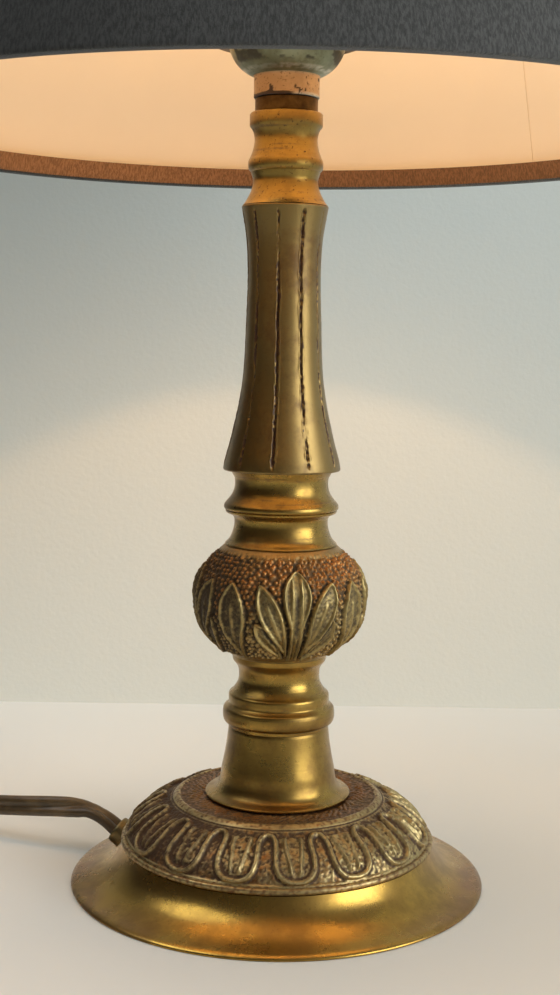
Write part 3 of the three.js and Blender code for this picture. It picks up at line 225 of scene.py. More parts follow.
def arc_table(points):
    """Heights, lengths along the line, and radii of a profile that only rises."""
    heights, lengths, radii = [points[0][1]], [0.0], [points[0][0]]
    for (r0, z0), (r1, z1) in zip(points, points[1:]):
        heights.append(z1)
        lengths.append(lengths[-1] + math.hypot(r1 - r0, z1 - z0))
        radii.append(r1)
    return heights, lengths, radii


def looked_up(value, places, results):
    """The result that belongs to a value, on straight lines between rising places."""
    i = min(max(bisect_right(places, value) - 1, 0), len(places) - 2)
    share = (value - places[i]) / max(places[i + 1] - places[i], 1e-9)
    share = min(max(share, 0.0), 1.0)
    return results[i] + (results[i + 1] - results[i]) * share


def spun_shape(points, steps, sectors=1):
    """A bmesh turned from a closed profile, its first seam at the front.

    A fine mesh is spun as one sector, which is then repeated round the axis."""
    shape = bmesh.new()
    ring = [shape.verts.new((0, -radius * MM, height * MM)) for radius, height in points]
    edges = [shape.edges.new((a, b)) for a, b in zip(ring, ring[1:])]
    if points[0][0] > 0 or points[-1][0] > 0:
        edges.append(shape.edges.new((ring[-1], ring[0])))
    sector = math.tau / sectors
    bmesh.ops.spin(
        shape, geom=ring + edges, cent=(0, 0, 0), axis=(0, 0, 1), angle=sector,
        steps=steps // sectors, use_merge=sectors == 1, use_duplicate=False)
    first = shape.verts[:] + shape.edges[:] + shape.faces[:]
    for i in range(1, sectors):
        copied = bmesh.ops.duplicate(shape, geom=first)["geom"]
        verts = [item for item in copied if isinstance(item, bmesh.types.BMVert)]
        turn = Matrix.Rotation(i * sector, 3, "Z")
        bmesh.ops.rotate(shape, verts=verts, cent=(0, 0, 0), matrix=turn)
    bmesh.ops.remove_doubles(shape, verts=shape.verts[:], dist=1e-6)
    bmesh.ops.recalc_face_normals(shape, faces=shape.faces[:])
    shape.normal_update()
    return shape


def spun(name, points, steps=96, crease=38):
    return finish_shape(spun_shape(points, steps), name, crease)


# The recess mask holds dirt in recesses and, on the cast ring and knop, painted shade.
MASKS = ("recess", "ground")


def carve(shape, relief):
    """Moves the points of a shape in or out by a relief, and keeps its two masks."""
    layers = [shape.verts.layers.float.new(mask) for mask in MASKS]
    for vert in shape.verts:
        x, y, z = vert.co / MM
        outwards, *masks = relief(math.degrees(math.atan2(x, -y)), math.hypot(x, y), z)
        vert.co += vert.normal * (outwards * MM)
        for layer, value in zip(layers, masks):
            vert[layer] = value


def soiled(low, high, amount):
    """Dirt that gathers at the ends of a turned piece and in lines round it."""

    def relief(bearing, radius, z):
        x, y, _ = at_bearing(bearing, radius, z)
        lines = noise.noise(Vector((x * 0.03, y * 0.03, z * 1.3)))
        lines += 0.45 * noise.noise(Vector((x * 0.12, y * 0.12, z * 2.9)))
        seam = smoothstep(min(z - low, high - z), 0.8, 0.1)
        return 0.0, 0.15 * seam + amount * smoothstep(lines, 0.0, 0.7), 0.0

    return relief


def rounded_copy(node, name, width, segments=3, limit=25):
    """A copy of a CAD node, merged, with its edges rounded."""
    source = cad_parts[node]
    shape = bmesh.new()
    shape.from_mesh(source.data)
    shape.transform(source.matrix_world)
    bmesh.ops.remove_doubles(shape, verts=shape.verts[:], dist=2e-6)
    bmesh.ops.dissolve_limit(
        shape, angle_limit=math.radians(3), verts=shape.verts[:], edges=shape.edges[:])
    sharp = [e for e in shape.edges if len(e.link_faces) == 2
             and e.calc_face_angle(0) > math.radians(limit)]
    bmesh.ops.bevel(
        shape, geom=sharp, offset=width * MM, offset_type="OFFSET", affect="EDGES",
        segments=segments, profile=0.5, material=-1, clamp_overlap=True)
    return finish_shape(shape, name)


def material_of(name):
    return bpy.data.materials[name]


def settle(piece, body, slot, finish, *nodes):
    """Gives a piece its body, finish and the CAD nodes that it stands for; the record slot is not
    used.
    """
    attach(piece, body)
    if nodes:
        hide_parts(*nodes)
    piece.data.materials.clear()
    piece.data.materials.append(material_of(finish))
    return piece


# Materials


class Graph:
    """Adds nodes to a node tree, sets their sockets and joins them."""

    def __init__(self, tree):
        self.tree = tree

    def feed(self, node, inputs):
        """Sets a node's sockets, or joins them to the sockets that their values come from."""
        for socket, value in inputs.items():
            if isinstance(value, bpy.types.NodeSocket):
                self.tree.links.new(value, node.inputs[socket])
            else:
                node.inputs[socket].default_value = value

    def node(self, kind, inputs=None, **settings):
        made = self.tree.nodes.new(kind)
        for key, value in settings.items():
            setattr(made, key, value)
        self.feed(made, inputs or {})
        return made

    def ramp(self, value, low, high):
        """A smooth share of where a value lies between two limits."""
        inputs = {"Value": value, "From Min": low, "From Max": high}
        made = self.node("ShaderNodeMapRange", inputs, interpolation_type="SMOOTHSTEP")
        return made.outputs["Result"]

    def maths(self, operation, *values):
        return self.node("ShaderNodeMath", dict(enumerate(values)), operation=operation).outputs[0]

    def noise(self, place, scale, detail, roughness=0.5):
        inputs = {"Vector": place, "Scale": scale, "Detail": detail, "Roughness": roughness}
        return self.node("ShaderNodeTexNoise", inputs).outputs["Fac"]

    def mix(self, factor, first, second):
        inputs = {0: factor, 6: first, 7: second}
        return self.node("ShaderNodeMix", inputs, data_type="RGBA").outputs[2]

    def dimmed(self, colour, value):
        """A colour times a value."""
        return self.node("ShaderNodeHueSaturation", {"Color": colour, "Value": value}).outputs[0]

    def across(self, place):
        """The X of a place."""
        return self.node("ShaderNodeSeparateXYZ", {0: place}).outputs["X"]


def rgba(colour):
    return (*colour, 1.0)


def effect(name, inputs, outputs):
    """A new shader node group with its sockets, and its graph and ends."""
    group = bpy.data.node_groups.new(name, "ShaderNodeTree")
    for label, kind, default in inputs:
        socket = group.interface.new_socket(label, in_out="INPUT", socket_type=kind)
        if default is not None:
            socket.default_value = default
    for label, kind in outputs:
        group.interface.new_socket(label, in_out="OUTPUT", socket_type=kind)
    graph = Graph(group)
    return graph, graph.node("NodeGroupInput"), graph.node("NodeGroupOutput")


def placed_effect(graph, name, inputs):
    return graph.node("ShaderNodeGroup", inputs, node_tree=bpy.data.node_groups[name])


FLOAT = "NodeSocketFloat"
COLOUR = "NodeSocketColor"
VECTOR = "NodeSocketVector"


def tarnish_effect():
    """Clouds and specks of tarnish over rubbed metal, and the dirt colour where the recess mask
    says, which also paints shade where that mask carries it.
    """
    graph, start, end = effect(
        "Tarnish",
        [("Place", VECTOR, None), ("Bright", COLOUR, (0.5, 0.4, 0.2, 1)),
         ("Dull", COLOUR, (0.2, 0.1, 0.05, 1)), ("Dirt", COLOUR, (0.05, 0.02, 0.01, 1)),
         ("Recess and Shade", FLOAT, 0.0), ("Amount", FLOAT, 0.3), ("Specks", FLOAT, 0.3),
         ("Smooth", FLOAT, 0.25)],
        [("Colour", COLOUR), ("Roughness", FLOAT), ("Metal", FLOAT), ("Height", FLOAT)])
    place = start.outputs["Place"]
    clouds = graph.noise(place, 60.0, 6.0, 0.65)
    film = graph.ramp(clouds, 0.42, 0.66)
    film = graph.maths("MULTIPLY", film, start.outputs["Amount"])
    dots = graph.noise(place, 900.0, 4.0, 0.7)
    specks = graph.ramp(dots, 0.58, 0.68)
    specks = graph.maths("MULTIPLY", specks, start.outputs["Specks"])
    colour = graph.mix(film, start.outputs["Bright"], start.outputs["Dull"])
    colour = graph.mix(specks, colour, start.outputs["Dirt"])
    broken = graph.noise(place, 520.0, 5.0, 0.7)
    broken = graph.maths("MULTIPLY_ADD", broken, 0.9, -0.45)
    deep = graph.maths("ADD", start.outputs["Recess and Shade"], broken)
    deep = graph.ramp(deep, 0.15, 0.8)
    colour = graph.mix(deep, colour, start.outputs["Dirt"])
    rough = graph.maths("MULTIPLY_ADD", film, 0.2, start.outputs["Smooth"])
    rough = graph.maths("MULTIPLY_ADD", deep, 0.3, rough)
    metal = graph.maths("MULTIPLY_ADD", deep, -0.7, 1.0)
    graph.feed(end, {"Colour": colour, "Roughness": rough, "Metal": metal, "Height": dots})


def turning_effect():
    """Fine rings that a lathe leaves, as heights along the stem's axis."""
    graph, start, end = effect(
        "Turning Lines", [("Place", VECTOR, None), ("Spacing", FLOAT, 3000.0)],
        [("Height", FLOAT)])
    flat = graph.node(
        "ShaderNodeVectorMath", {0: start.outputs["Place"], 1: (0.012, 0.012, 1.0)},
        operation="MULTIPLY")
    lines = graph.noise(flat.outputs[0], start.outputs["Spacing"], 3.0, 0.6)
    graph.feed(end, {"Height": lines})


def pile_effect():
    """The lay of a short pile: slanting streaks, darker and lighter, and single tufts.

    The side value says how far the pile is painted lighter towards +X, on the window side, and
    darker towards -X: painted light and painted shade."""
    graph, start, end = effect(
        "Pile",
        [("Place", VECTOR, None), ("Colour", COLOUR, (0.1, 0.1, 0.1, 1)), ("Painted Side Light", FLOAT, 0.0)],
        [("Colour", COLOUR), ("Height", FLOAT)])
    place = start.outputs["Place"]
    slanted = graph.node(
        "ShaderNodeMapping",
        {"Vector": place, "Rotation": (0.0, math.radians(35), 0.0), "Scale": (1.0, 1.0, 0.24)},
    ).outputs[0]
    streaks = graph.noise(slanted, 1700.0, 3.0, 0.7)
    tufts = graph.noise(place, 2600.0, 2.0, 0.8)
    lean = graph.ramp(streaks, 0.36, 0.64)
    base = start.outputs["Colour"]
    colour = graph.mix(lean, graph.dimmed(base, 0.74), graph.dimmed(base, 1.28))
    # Painted light and shade: lighter towards +X and darker towards -X, as the window light falls.
    painted_side = graph.maths("SUBTRACT", graph.ramp(graph.across(place), -0.09, 0.06), 0.45)
    value = graph.maths("MULTIPLY_ADD", painted_side, start.outputs["Painted Side Light"], 1.0)
    height = graph.maths("MULTIPLY_ADD", tufts, 0.5, streaks)
    graph.feed(end, {"Colour": graph.dimmed(colour, value), "Height": height})


def new_material(name):
    """A material's graph, its Principled shader and its object coordinates."""
    material = bpy.data.materials.new(name)
    material.use_nodes = True
    graph = Graph(material.node_tree)
    place = graph.node("ShaderNodeTexCoord").outputs["Object"]
    return graph, graph.tree.nodes["Principled BSDF"], place


def bump(graph, shader, height, distance):
    """Bumps a shader with a height, distance in millimetres."""
    made = graph.node("ShaderNodeBump", {"Height": height, "Distance": distance * MM})
    graph.feed(shader, {"Normal": made.outputs["Normal"]})
    return made


def brass_material(name, amount, specks, smooth, bright=None, dull=None, dirt=None, ground=None,
                   lines=0.0, grain=0.02, coat=0.4):
    """Brass with tarnish. Lines is the height of the lathe's rings, in millimetres."""
    colours = bpy.context.scene.lamp_colours
    graph, shader, place = new_material(name)
    recess, between = [
        graph.node("ShaderNodeAttribute", attribute_name=mask).outputs["Fac"] for mask in MASKS]
    base = rgba(bright or colours.brass)
    if ground:
        base = graph.mix(between, base, rgba(ground))
    film = placed_effect(graph, "Tarnish", {
        "Place": place, "Bright": base, "Dull": rgba(dull or colours.tarnish),
        "Dirt": rgba(dirt or colours.deposit), "Recess and Shade": recess, "Amount": amount, "Specks": specks,
        "Smooth": smooth})
    graph.feed(shader, {
        "Base Color": film.outputs["Colour"], "Roughness": film.outputs["Roughness"],
        "Metallic": film.outputs["Metal"], "Coat Weight": coat, "Coat Roughness": 0.38})
    made = bump(graph, shader, film.outputs["Height"], grain)
    if lines:
        rings = placed_effect(graph, "Turning Lines", {"Place": place})
        ringed = graph.node(
            "ShaderNodeBump", {"Height": rings.outputs["Height"], "Distance": lines * MM})
        graph.feed(made, {"Normal": ringed.outputs["Normal"]})


def pile_material(name, colour, painted_side_light):
    graph, shader, place = new_material(name)
    pile = placed_effect(graph, "Pile", {"Place": place, "Colour": rgba(colour), "Painted Side Light": painted_side_light})
    graph.feed(shader, {
        "Base Color": pile.outputs["Colour"], "Roughness": 0.95, "Sheen Weight": 0.25,
        "Sheen Roughness": 0.4, "Specular IOR Level": 0.2})
    bump(graph, shader, pile.outputs["Height"], 0.22)


def lining_material():
    graph, shader, place = new_material("Cream Lining")
    clouds = graph.noise(place, 22.0, 4.0, 0.6)
    base = Vector(bpy.context.scene.lamp_colours.lining)
    graph.feed(shader, {
        "Base Color": graph.mix(clouds, rgba(base * 0.95), rgba(base * 1.04)),
        "Roughness": 0.62, "Specular IOR Level": 0.3})
    bump(graph, shader, graph.noise(place, 1800.0, 2.0), 0.02)


def mottled_material(name, first, second, scale, detail, height, rough, spread=0.0, limits=None,
                     sockets=None):
    """A surface that goes from one colour to another in clouds, which also bump it.

    Spread is how much rougher the second colour is, limits where the clouds change over."""
    graph, shader, place = new_material(name)
    clouds = graph.noise(place, scale, detail)
    share = graph.ramp(clouds, *limits) if limits else clouds
    roughness = graph.maths("MULTIPLY_ADD", clouds, spread, rough) if spread else rough
    graph.feed(shader, {
        "Base Color": graph.mix(share, rgba(first), rgba(second)), "Roughness": roughness,
        **(sockets or {})})
    bump(graph, shader, clouds, height)


def wire_material():
    """White coated wire, scuffed to grey."""
    mottled_material(
        "White Wire", (0.74, 0.71, 0.65), (0.45, 0.41, 0.34), 240.0, 4.0, 0.02, 0.4,
        limits=(0.6, 0.75))


def metal_material(name, base, rough, scale=400.0, height=0.02):
    """Plain grey metal with fine unevenness."""
    mottled_material(
        name, Vector(base) * 0.7, base, scale, 5.0, height, rough, 0.25,
        sockets={"Metallic": 1.0})


def plain_material(name, base, rough, scale, height, shade=0.85):
    """A moulded, glazed or felted surface with slight mottling."""
    mottled_material(name, Vector(base) * shade, base, scale, 4.0, height, rough, 0.12)


def glass_material():
    """Frosted glass with the light on behind it."""
    mottled_material(
        "Frosted Glass", (0.93, 0.88, 0.78), (0.98, 0.95, 0.88), 900.0, 2.0, 0.01, 0.35,
        sockets={"Emission Color": (1.0, 0.72, 0.42, 1), "Emission Strength": 3.0})


def flex_material():
    """Brown and gold cord: the gold shows where the skin is thin."""
    base = Vector(bpy.context.scene.lamp_colours.flex)
    mottled_material(
        "Brown Flex", base * 0.7, base * 1.25, 160.0, 3.0, 0.05, 0.42, limits=(0.35, 0.7),
        sockets={"Coat Weight": 0.1, "Coat Roughness": 0.3})


# The hem is the same charcoal velvet as the cover: its brighter brown colour is painted warm light
# from the bulb.
HEM_PAINTED_WARM_LIGHT = (0.188, 0.097, 0.048)
# The CAD nodes that stay as they are, and their finishes.
PLAIN_NODES = {
    "ballast": "Rough Iron",
    "felt_pad": "Green Felt",
    "tie_rod": "Plain Steel",
    "rod_washer": "Plain Steel",
    "holder_insulator": "Glazed Porcelain",
    "thread_shell": "Turned Brass",
    "centre_contact": "Turned Brass",
    "terminal_left": "Turned Brass",
    "terminal_right": "Turned Brass",
    "bulb_button": "Plain Steel",
    "inner_flex": "Brown Flex",
}


class LAMP_OT_materials(bpy.types.Operator):
    """Builds the finishes and gives the CAD nodes that stay as they are theirs"""

    bl_idname = "lamp.materials"
    bl_label = "Finishes"

    def execute(self, context):
        tarnish_effect()
        turning_effect()
        pile_effect()
        self.brass()
        self.holder_plating()
        self.shade_finishes()
        self.fittings()
        for node, name in PLAIN_NODES.items():
            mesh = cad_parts[node].data
            mesh.materials.clear()
            mesh.materials.append(material_of(name))
        return {"FINISHED"}

    def brass(self):
        """The brass of the stem, the foot, the bush and the castings."""
        brass_material("Turned Brass", 0.6, 0.3, 0.27, lines=0.03)
        brass_material("Pitted Brass", 0.5, 0.9, 0.28, lines=0.03, grain=0.06)
        brass_material(
            "Column Brass", 0.85, 0.2, 0.4, bright=(0.29, 0.185, 0.05),
            dull=(0.16, 0.085, 0.022), lines=0.01, coat=0.6)
        brass_material(
            "Foot Brass", 0.5, 0.3, 0.26, bright=(0.50, 0.295, 0.05), ground=(0.25, 0.115, 0.04),
            lines=0.01, grain=0.03)
        brass_material(
            "Cast Brass", 0.6, 0.5, 0.38, bright=(0.52, 0.405, 0.185), dull=(0.29, 0.21, 0.09),
            dirt=(0.085, 0.043, 0.016), ground=(0.28, 0.13, 0.045), grain=0.12, coat=0.2)
        brass_material(
            "Knop Brass", 0.55, 0.4, 0.38, bright=(0.45, 0.33, 0.13), dull=(0.23, 0.165, 0.065),
            dirt=(0.065, 0.041, 0.016), ground=(0.40, 0.175, 0.05), grain=0.1, coat=0.2)
        brass_material("Bush Brass", 0.6, 0.5, 0.42, bright=(0.25, 0.19, 0.09), coat=0.0)
        brass_material(
            "Dark Brass", 1.0, 0.4, 0.4, bright=(0.17, 0.095, 0.03), dull=(0.06, 0.03, 0.01),
            coat=0.0)

    def holder_plating(self):
        """The lampholder's plating, and the sleeve where it is worn through."""
        brass_material(
            "Worn Plating", 0.8, 0.5, 0.36, bright=(0.30, 0.30, 0.18), dull=(0.14, 0.13, 0.06),
            dirt=(0.05, 0.043, 0.02), ground=(0.70, 0.66, 0.53))
        brass_material(
            "Worn Sleeve", 0.5, 0.9, 0.5, bright=(0.66, 0.45, 0.25), dull=(0.36, 0.19, 0.07),
            ground=(0.75, 0.72, 0.62))

    def shade_finishes(self):
        """Velvet and its hem, the lining and the wire of the frame."""
        # The velvet is painted lighter towards +X. The hem, with a negative value, is painted darker
        # towards +X and lighter towards -X.
        pile_material("Charcoal Velvet", bpy.context.scene.lamp_colours.velvet, 0.76)
        pile_material("Warm Lit Hem", HEM_PAINTED_WARM_LIGHT, -0.3)
        lining_material()
        wire_material()

    def fittings(self):
        """Steel, iron, felt, porcelain, moulding, glass and flex."""
        metal_material("Plain Steel", (0.62, 0.61, 0.58), 0.28)
        metal_material("Rough Iron", (0.10, 0.095, 0.09), 0.6, scale=220.0, height=0.4)
        plain_material("Green Felt", (0.055, 0.085, 0.05), 0.9, 900.0, 0.3, shade=0.6)
        plain_material("Glazed Porcelain", (0.80, 0.78, 0.73), 0.15, 40.0, 0.01, shade=0.95)
        plain_material("Dark Moulding", (0.030, 0.024, 0.019), 0.32, 1100.0, 0.03)
        glass_material()
        flex_material()


# Camera and cord

CAMERA_PLACE = Vector((-0.45, -470.67, 180.03))
SENSOR_WIDTH = 36
# In metres, short enough for close views.
CLIP_START = 0.01

CORD_WIDTH = 7.2
CORD_THICKNESS = 3.6
# Each core's round side is drawn from minus to plus its reach, an angle from straight outwards.
CORE_REACH = 150
CORE_STEPS = 12
BUSH_BEARING = -107
BUSH_RISE = 35
BUSH_SEAT_RADIUS = 55.2
BUSH_SEAT_HEIGHT = 7.4
BUSH_OUTSIDE = 4.2
BUSH_BORE = 3.9
GAP = 0.3
STRAIGHT_RUN = 4
CORD_START = 0.05
PATH_SAMPLES = 6
LEAD_ROUTE = [
    (-62.8, 19.2, 14), (-66, 20.3, 15), (-70.8, 21.5, 15.4), (-75.9, 22.9, 15.3),
    (-83.4, 25.4, 14.6), (-91.1, 28.6, 13.6), (-99.1, 32.6, 12.4), (-107, 37, 11),
    (-115, 41.6, 9.4),
]
# The cord's turn about its line at its first points, in degrees; 0 stands it on edge.
CORD_TWISTS = (76, 82, 88, 82, 48, 20, 8)
MIDDLE_ROUTE = [
    (-196, 42.4, 7.2), (-201, 40.4, 6), (-206, 37.2, 5.2), (-212, 31, 4.8), (-216.2, 23, 4.7),
    (-218.5, 13.5, 4.7), (-219, 2, 4.7),
]
TAIL_ROUTE = [
    (-219.2, -37, 12.4), (-220.4, -45, 12), (-223.2, -53.5, 10.4), (-226.6, -62.5, 8.4),
]
SWITCH_CENTRE = Vector((-156, 43.5))
SWITCH_LENGTH = 58
SWITCH_MIDDLE = 8.3
PLUG_ENTRY = Vector((-228, -75, 7.2))
COIL_CENTRE = Vector((-168, -22))
COIL_OUTER_RADIUS = 51
COIL_INNER_RADIUS = 29
COIL_TURNS = 3
COIL_STEPS = 24
COIL_LIFT = 1.1
COIL_LAYER_GAP = 0.5


def bush_axis():
    rise = math.radians(BUSH_RISE)
    return at_bearing(BUSH_BEARING, math.cos(rise), math.sin(rise))


def bush_seat():
    return at_bearing(BUSH_BEARING, BUSH_SEAT_RADIUS, BUSH_SEAT_HEIGHT)


def bush_mouth():
    return bush_seat() + bush_axis() * BUSH_OUTSIDE


def coil_route():
    """The coil's points: in, up a layer where it turns back, and out again."""
    reach = COIL_OUTER_RADIUS - COIL_INNER_RADIUS
    points = []
    for i in range(2 * COIL_TURNS * COIL_STEPS + 1):
        turns = i / COIL_STEPS
        from_middle = turns - COIL_TURNS
        radius = COIL_INNER_RADIUS + reach * abs(from_middle) / COIL_TURNS
        angle = math.pi + math.tau * turns
        climb = smoothstep(from_middle, -0.25, 0.25) * (CORD_WIDTH + COIL_LAYER_GAP)
        points.append(Vector((
            COIL_CENTRE.x + radius * math.cos(angle),
            COIL_CENTRE.y + radius * math.sin(angle),
            COIL_LIFT + CORD_WIDTH / 2 + climb,
        )))
    straight = Vector((0, CORD_WIDTH, 0))
    return [points[0] + straight, *points, points[-1] - straight]


def cord_route():
    """All points of the cord in metres, from the bush to the plug, in order."""
    axis = bush_axis()
    mouth = bush_mouth()
    left = Vector((-1, 0, 0))
    front = Vector((0, -1, 0))
    middle = Vector((SWITCH_CENTRE.x, SWITCH_CENTRE.y, SWITCH_MIDDLE))
    half = left * (SWITCH_LENGTH / 2 + GAP + STRAIGHT_RUN)
    points = [mouth + axis * CORD_START, mouth + axis * (GAP + STRAIGHT_RUN)]
    points += [Vector(p) for p in LEAD_ROUTE]
    points += [middle - half, middle - half * 0.3, middle + half * 0.3, middle + half]
    points += [Vector(p) for p in MIDDLE_ROUTE]
    points += coil_route()
    points += [Vector(p) for p in TAIL_ROUTE]
    points += [PLUG_ENTRY - front * (GAP + STRAIGHT_RUN), PLUG_ENTRY - front * 0.3]
    return [point * MM for point in points]


def twin_section():
    """The outline of two round cores side by side, with a groove on each side between them."""
    core = CORD_THICKNESS / 2
    offset = CORD_WIDTH / 2 - core
    points = []
    for i in range(CORE_STEPS):
        angle = math.radians(CORE_REACH * (2 * i / (CORE_STEPS - 1) - 1))
        points.append((offset + core * math.cos(angle), core * math.sin(angle)))
    return points + [(-x, -y) for x, y in points]


def flat_curve(name, outline):
    """A closed flat curve from an outline, to sweep along another curve."""
    section = bpy.data.curves.new(name, "CURVE")
    section.dimensions = "2D"
    line = section.splines.new("POLY")
    line.points.add(len(outline) - 1)
    for spot, (across, along) in zip(line.points, outline):
        spot.co = (along * MM, across * MM, 0, 1)
    line.use_cyclic_u = True
    return bpy.data.objects.new(name, section)


def path_through(spots):
    """Places on the smooth line through a curve's points, from its start to its end."""
    path = []
    for here, there in zip(spots, spots[1:]):
        stretch = interpolate_bezier(
            here.co, here.handle_right, there.handle_left, there.co, PATH_SAMPLES)
        path += stretch[:-1]
    path.append(spots[-1].co)
    return [tuple(place) for place in path]


def cord_curve(name, points, twists):
    """A flat cord as a mesh swept along smooth handles, and its path.

    Twists turn its section, in degrees."""
    profile = flat_curve(name + "_section", twin_section())
    curve = bpy.data.curves.new(name, "CURVE")
    curve.dimensions = "3D"
    curve.twist_mode = "Z_UP"
    curve.resolution_u = 5
    curve.bevel_mode = "OBJECT"
    curve.bevel_object = profile
    curve.use_fill_caps = True
    run = curve.splines.new("BEZIER")
    run.bezier_points.add(len(points) - 1)
    for spot, place, twist in zip(run.bezier_points, points, twists):
        spot.co = place
        spot.handle_left_type = "AUTO"
        spot.handle_right_type = "AUTO"
        spot.tilt = math.radians(twist)
    maker = bpy.data.objects.new(name + "_maker", curve)
    for made in (profile, maker):
        bpy.context.scene.collection.objects.link(made)
    bpy.context.view_layer.update()
    path = path_through(run.bezier_points)
    graph = bpy.context.evaluated_depsgraph_get()
    mesh = bpy.data.meshes.new_from_object(maker.evaluated_get(graph))
    for made in (maker, profile):
        bpy.data.objects.remove(made)
    shape = bmesh.new()
    shape.from_mesh(mesh)
    bpy.data.meshes.remove(mesh)
    bmesh.ops.remove_doubles(shape, verts=shape.verts[:], dist=1e-6)
    bmesh.ops.recalc_face_normals(shape, faces=shape.faces[:])
    return finish_shape(shape, name, crease=60), path


class LAMP_OT_camera(bpy.types.Operator):
    """Stands the camera where the photograph was taken"""

    bl_idname = "lamp.camera"
    bl_label = "Camera"

    def execute(self, context):
        settings = context.scene.lamp_stage
        data = bpy.data.cameras.new("camera")
        data.lens = settings.lens
        data.sensor_width = SENSOR_WIDTH
        data.clip_start = CLIP_START
        camera = bpy.data.objects.new("camera", data)
        camera.location = CAMERA_PLACE * MM
        look = Matrix.Rotation(math.pi / 2 - settings.pitch, 4, "X")
        lean = Matrix.Rotation(settings.roll, 4, "Z")
        camera.rotation_euler = (look @ lean).to_euler()
        context.scene.collection.objects.link(camera)
        context.scene.camera = camera
        return {"FINISHED"}


class LAMP_OT_cord(bpy.types.Operator):
    """Lays the flat cord from the bush through the switch and the coil to the plug"""

    bl_idname = "lamp.cord"
    bl_label = "Cord"

    def execute(self, context):
        points = cord_route()
        twists = [0.0] * len(points)
        for i, twist in enumerate(CORD_TWISTS):
            twists[i] = twist
        cord, path = cord_curve("cord", points, twists)
        settle(cord, "lamp", "brown_cord", "Brown Flex",
               "cord_lead", "cord_middle", "cord_coil", "cord_tail")
        carried = [
            dark_copy("switch_base", 0.6), dark_copy("switch_cover", 0.7),
            dark_copy("plug_body", 0.9), dark_copy("cord_tie", 0.15),
        ]
        rocker = dark_copy("switch_rocker", 0.5, body="rocker")
        pins = [steel_copy("plug_pin_left"), steel_copy("plug_pin_right")]
        return {"FINISHED"}


def dark_copy(node, width, body="lamp"):
    piece = rounded_copy(node, node + "_moulding", width)
    return settle(piece, body, "dark_fittings", "Dark Moulding", node)


def steel_copy(node):
    piece = rounded_copy(node, node + "_pin", 0.2, segments=2, limit=40)
    return settle(piece, "lamp", "plain_steel", "Plain Steel", node)


# Foot and cast ring

ROD_HOLE = 5.5


class LAMP_OT_foot(bpy.types.Operator):
    """Spins the brass foot and sets the cord bush in it"""

    bl_idname = "lamp.foot"
    bl_label = "Foot"

    def execute(self, context):
        self.add_dish()
        self.add_bush()
        return {"FINISHED"}

    def add_dish(self):
        shape = spun_shape(self.section(), 160)
        carve(shape, self.patina)
        foot = finish_shape(shape, "foot_dish", 50)
        settle(foot, "lamp", "antique_brass", "Foot Brass", "foot")

    def add_bush(self):
        """The bush, turned upright and then laid along the cord's way out."""
        sleeve = Profile(4.9, -3.5).line(4.8, 3.2).bow(4.7, BUSH_OUTSIDE, 4.3, BUSH_OUTSIDE, 3)
        bush = spun("cord_bush_turned", sleeve.bored(BUSH_BORE).points, 48)
        turn = Vector((0, 0, 1)).rotation_difference(bush_axis()).to_matrix().to_4x4()
        bush.data.transform(Matrix.Translation(bush_seat() * MM) @ turn)
        settle(bush, "lamp", "antique_brass", "Bush Brass", "cord_bush")

    def section(self):
        """The foot's section: outer face and flat top, then the inner face from the top down."""
        outer = Profile(68.6, 0).bow(69, 0.05, 69, 0.5, 3).bow(68.6, 1.3, 67.3, 1.6, 4)
        outer.smooth((64, 2.3), (60.5, 3.5), (57.4, 5.2), (54.6, 7.8), (52.8, 10.4), (51.6, 12.9))
        outer.line(47.2, 12.9)
        inner = [(47.2, 10.9), (49.8, 10.9), (51, 9.2), (53, 6.4), (56, 3.7), (59.4, 1.9),
                 (63.6, 0.5), (66.8, 0)]
        return outer.points + inner

    def patina(self, bearing, radius, z):
        """Brown on the brim at both sides, and dark spots all over."""
        place = at_bearing(bearing, radius, z)
        patch = noise.noise(place * 0.05) + 0.5 * noise.noise(place * 0.16)
        sides = smoothstep(abs(math.cos(math.radians(bearing))), 0.9, 0.45)
        brown = smoothstep(radius, 57, 66) * sides * (0.75 + 0.8 * patch)
        spots = smoothstep(noise.noise(place * 0.4) + 0.5 * patch, 0.45, 0.7)
        return 0.0, 0.15 * spots, min(max(brown + 0.2 * patch, 0.0), 0.9)


# Degrees; the middle of the tongue nearest the front.
TONGUE_BEARING = 7.1
# The line that runs round a tongue and up over the arch beside it: across in shares of the pitch
# from the tongue's middle, and up the band in millimetres.
TONGUE_LINE = Profile(0, 1.1).smooth(
    (0.10, 1.25), (0.19, 1.9), (0.265, 3.2), (0.31, 4.9), (0.332, 7.2), (0.335, 9.9),
    (0.331, 12.2), (0.340, 14.3), (0.360, 15.9), (0.40, 17.1), (0.445, 17.6), (0.5, 17.8),
    steps=3).points


@lru_cache(maxsize=None)
def tongue_distance(away, up, pitch):
    """Distance in millimetres from a place on the band to the tongue's line."""
    nearest = math.inf
    x = away * pitch
    for (x0, y0), (x1, y1) in zip(TONGUE_LINE, TONGUE_LINE[1:]):
        x0, x1 = x0 * pitch, x1 * pitch
        dx, dy = x1 - x0, y1 - y0
        share = ((x - x0) * dx + (up - y0) * dy) / (dx * dx + dy * dy)
        share = min(max(share, 0.0), 1.0)
        nearest = min(nearest, math.hypot(x - x0 - share * dx, up - y0 - share * dy))
    return nearest


@lru_cache(maxsize=None)
def tongue_side(up):
    """The tongue's half width at a height up the band, in shares of the pitch."""
    return looked_up(up, [y for _, y in TONGUE_LINE], [x for x, _ in TONGUE_LINE])


# The plate on top of the ring, with its ribs, and how far the tongues' lines and ribs reach.
PLATE_RADIUS = 32.6
PLATE_DROP = 0.45
RING_WALL = 2.15
RIB_COUNT = 66
# Degrees that a rib of the plate leans for each millimetre outwards.
RIB_SLANT = 2.6
RIBS_FROM = 25.0
RIBS_FADE = 28.0
RIBS_TO = 30.6
TONGUE_FOOT = 1.2
TONGUE_TOP = 17.0
RIDGE_REACH = 1.1
RIB_REACH = 0.8


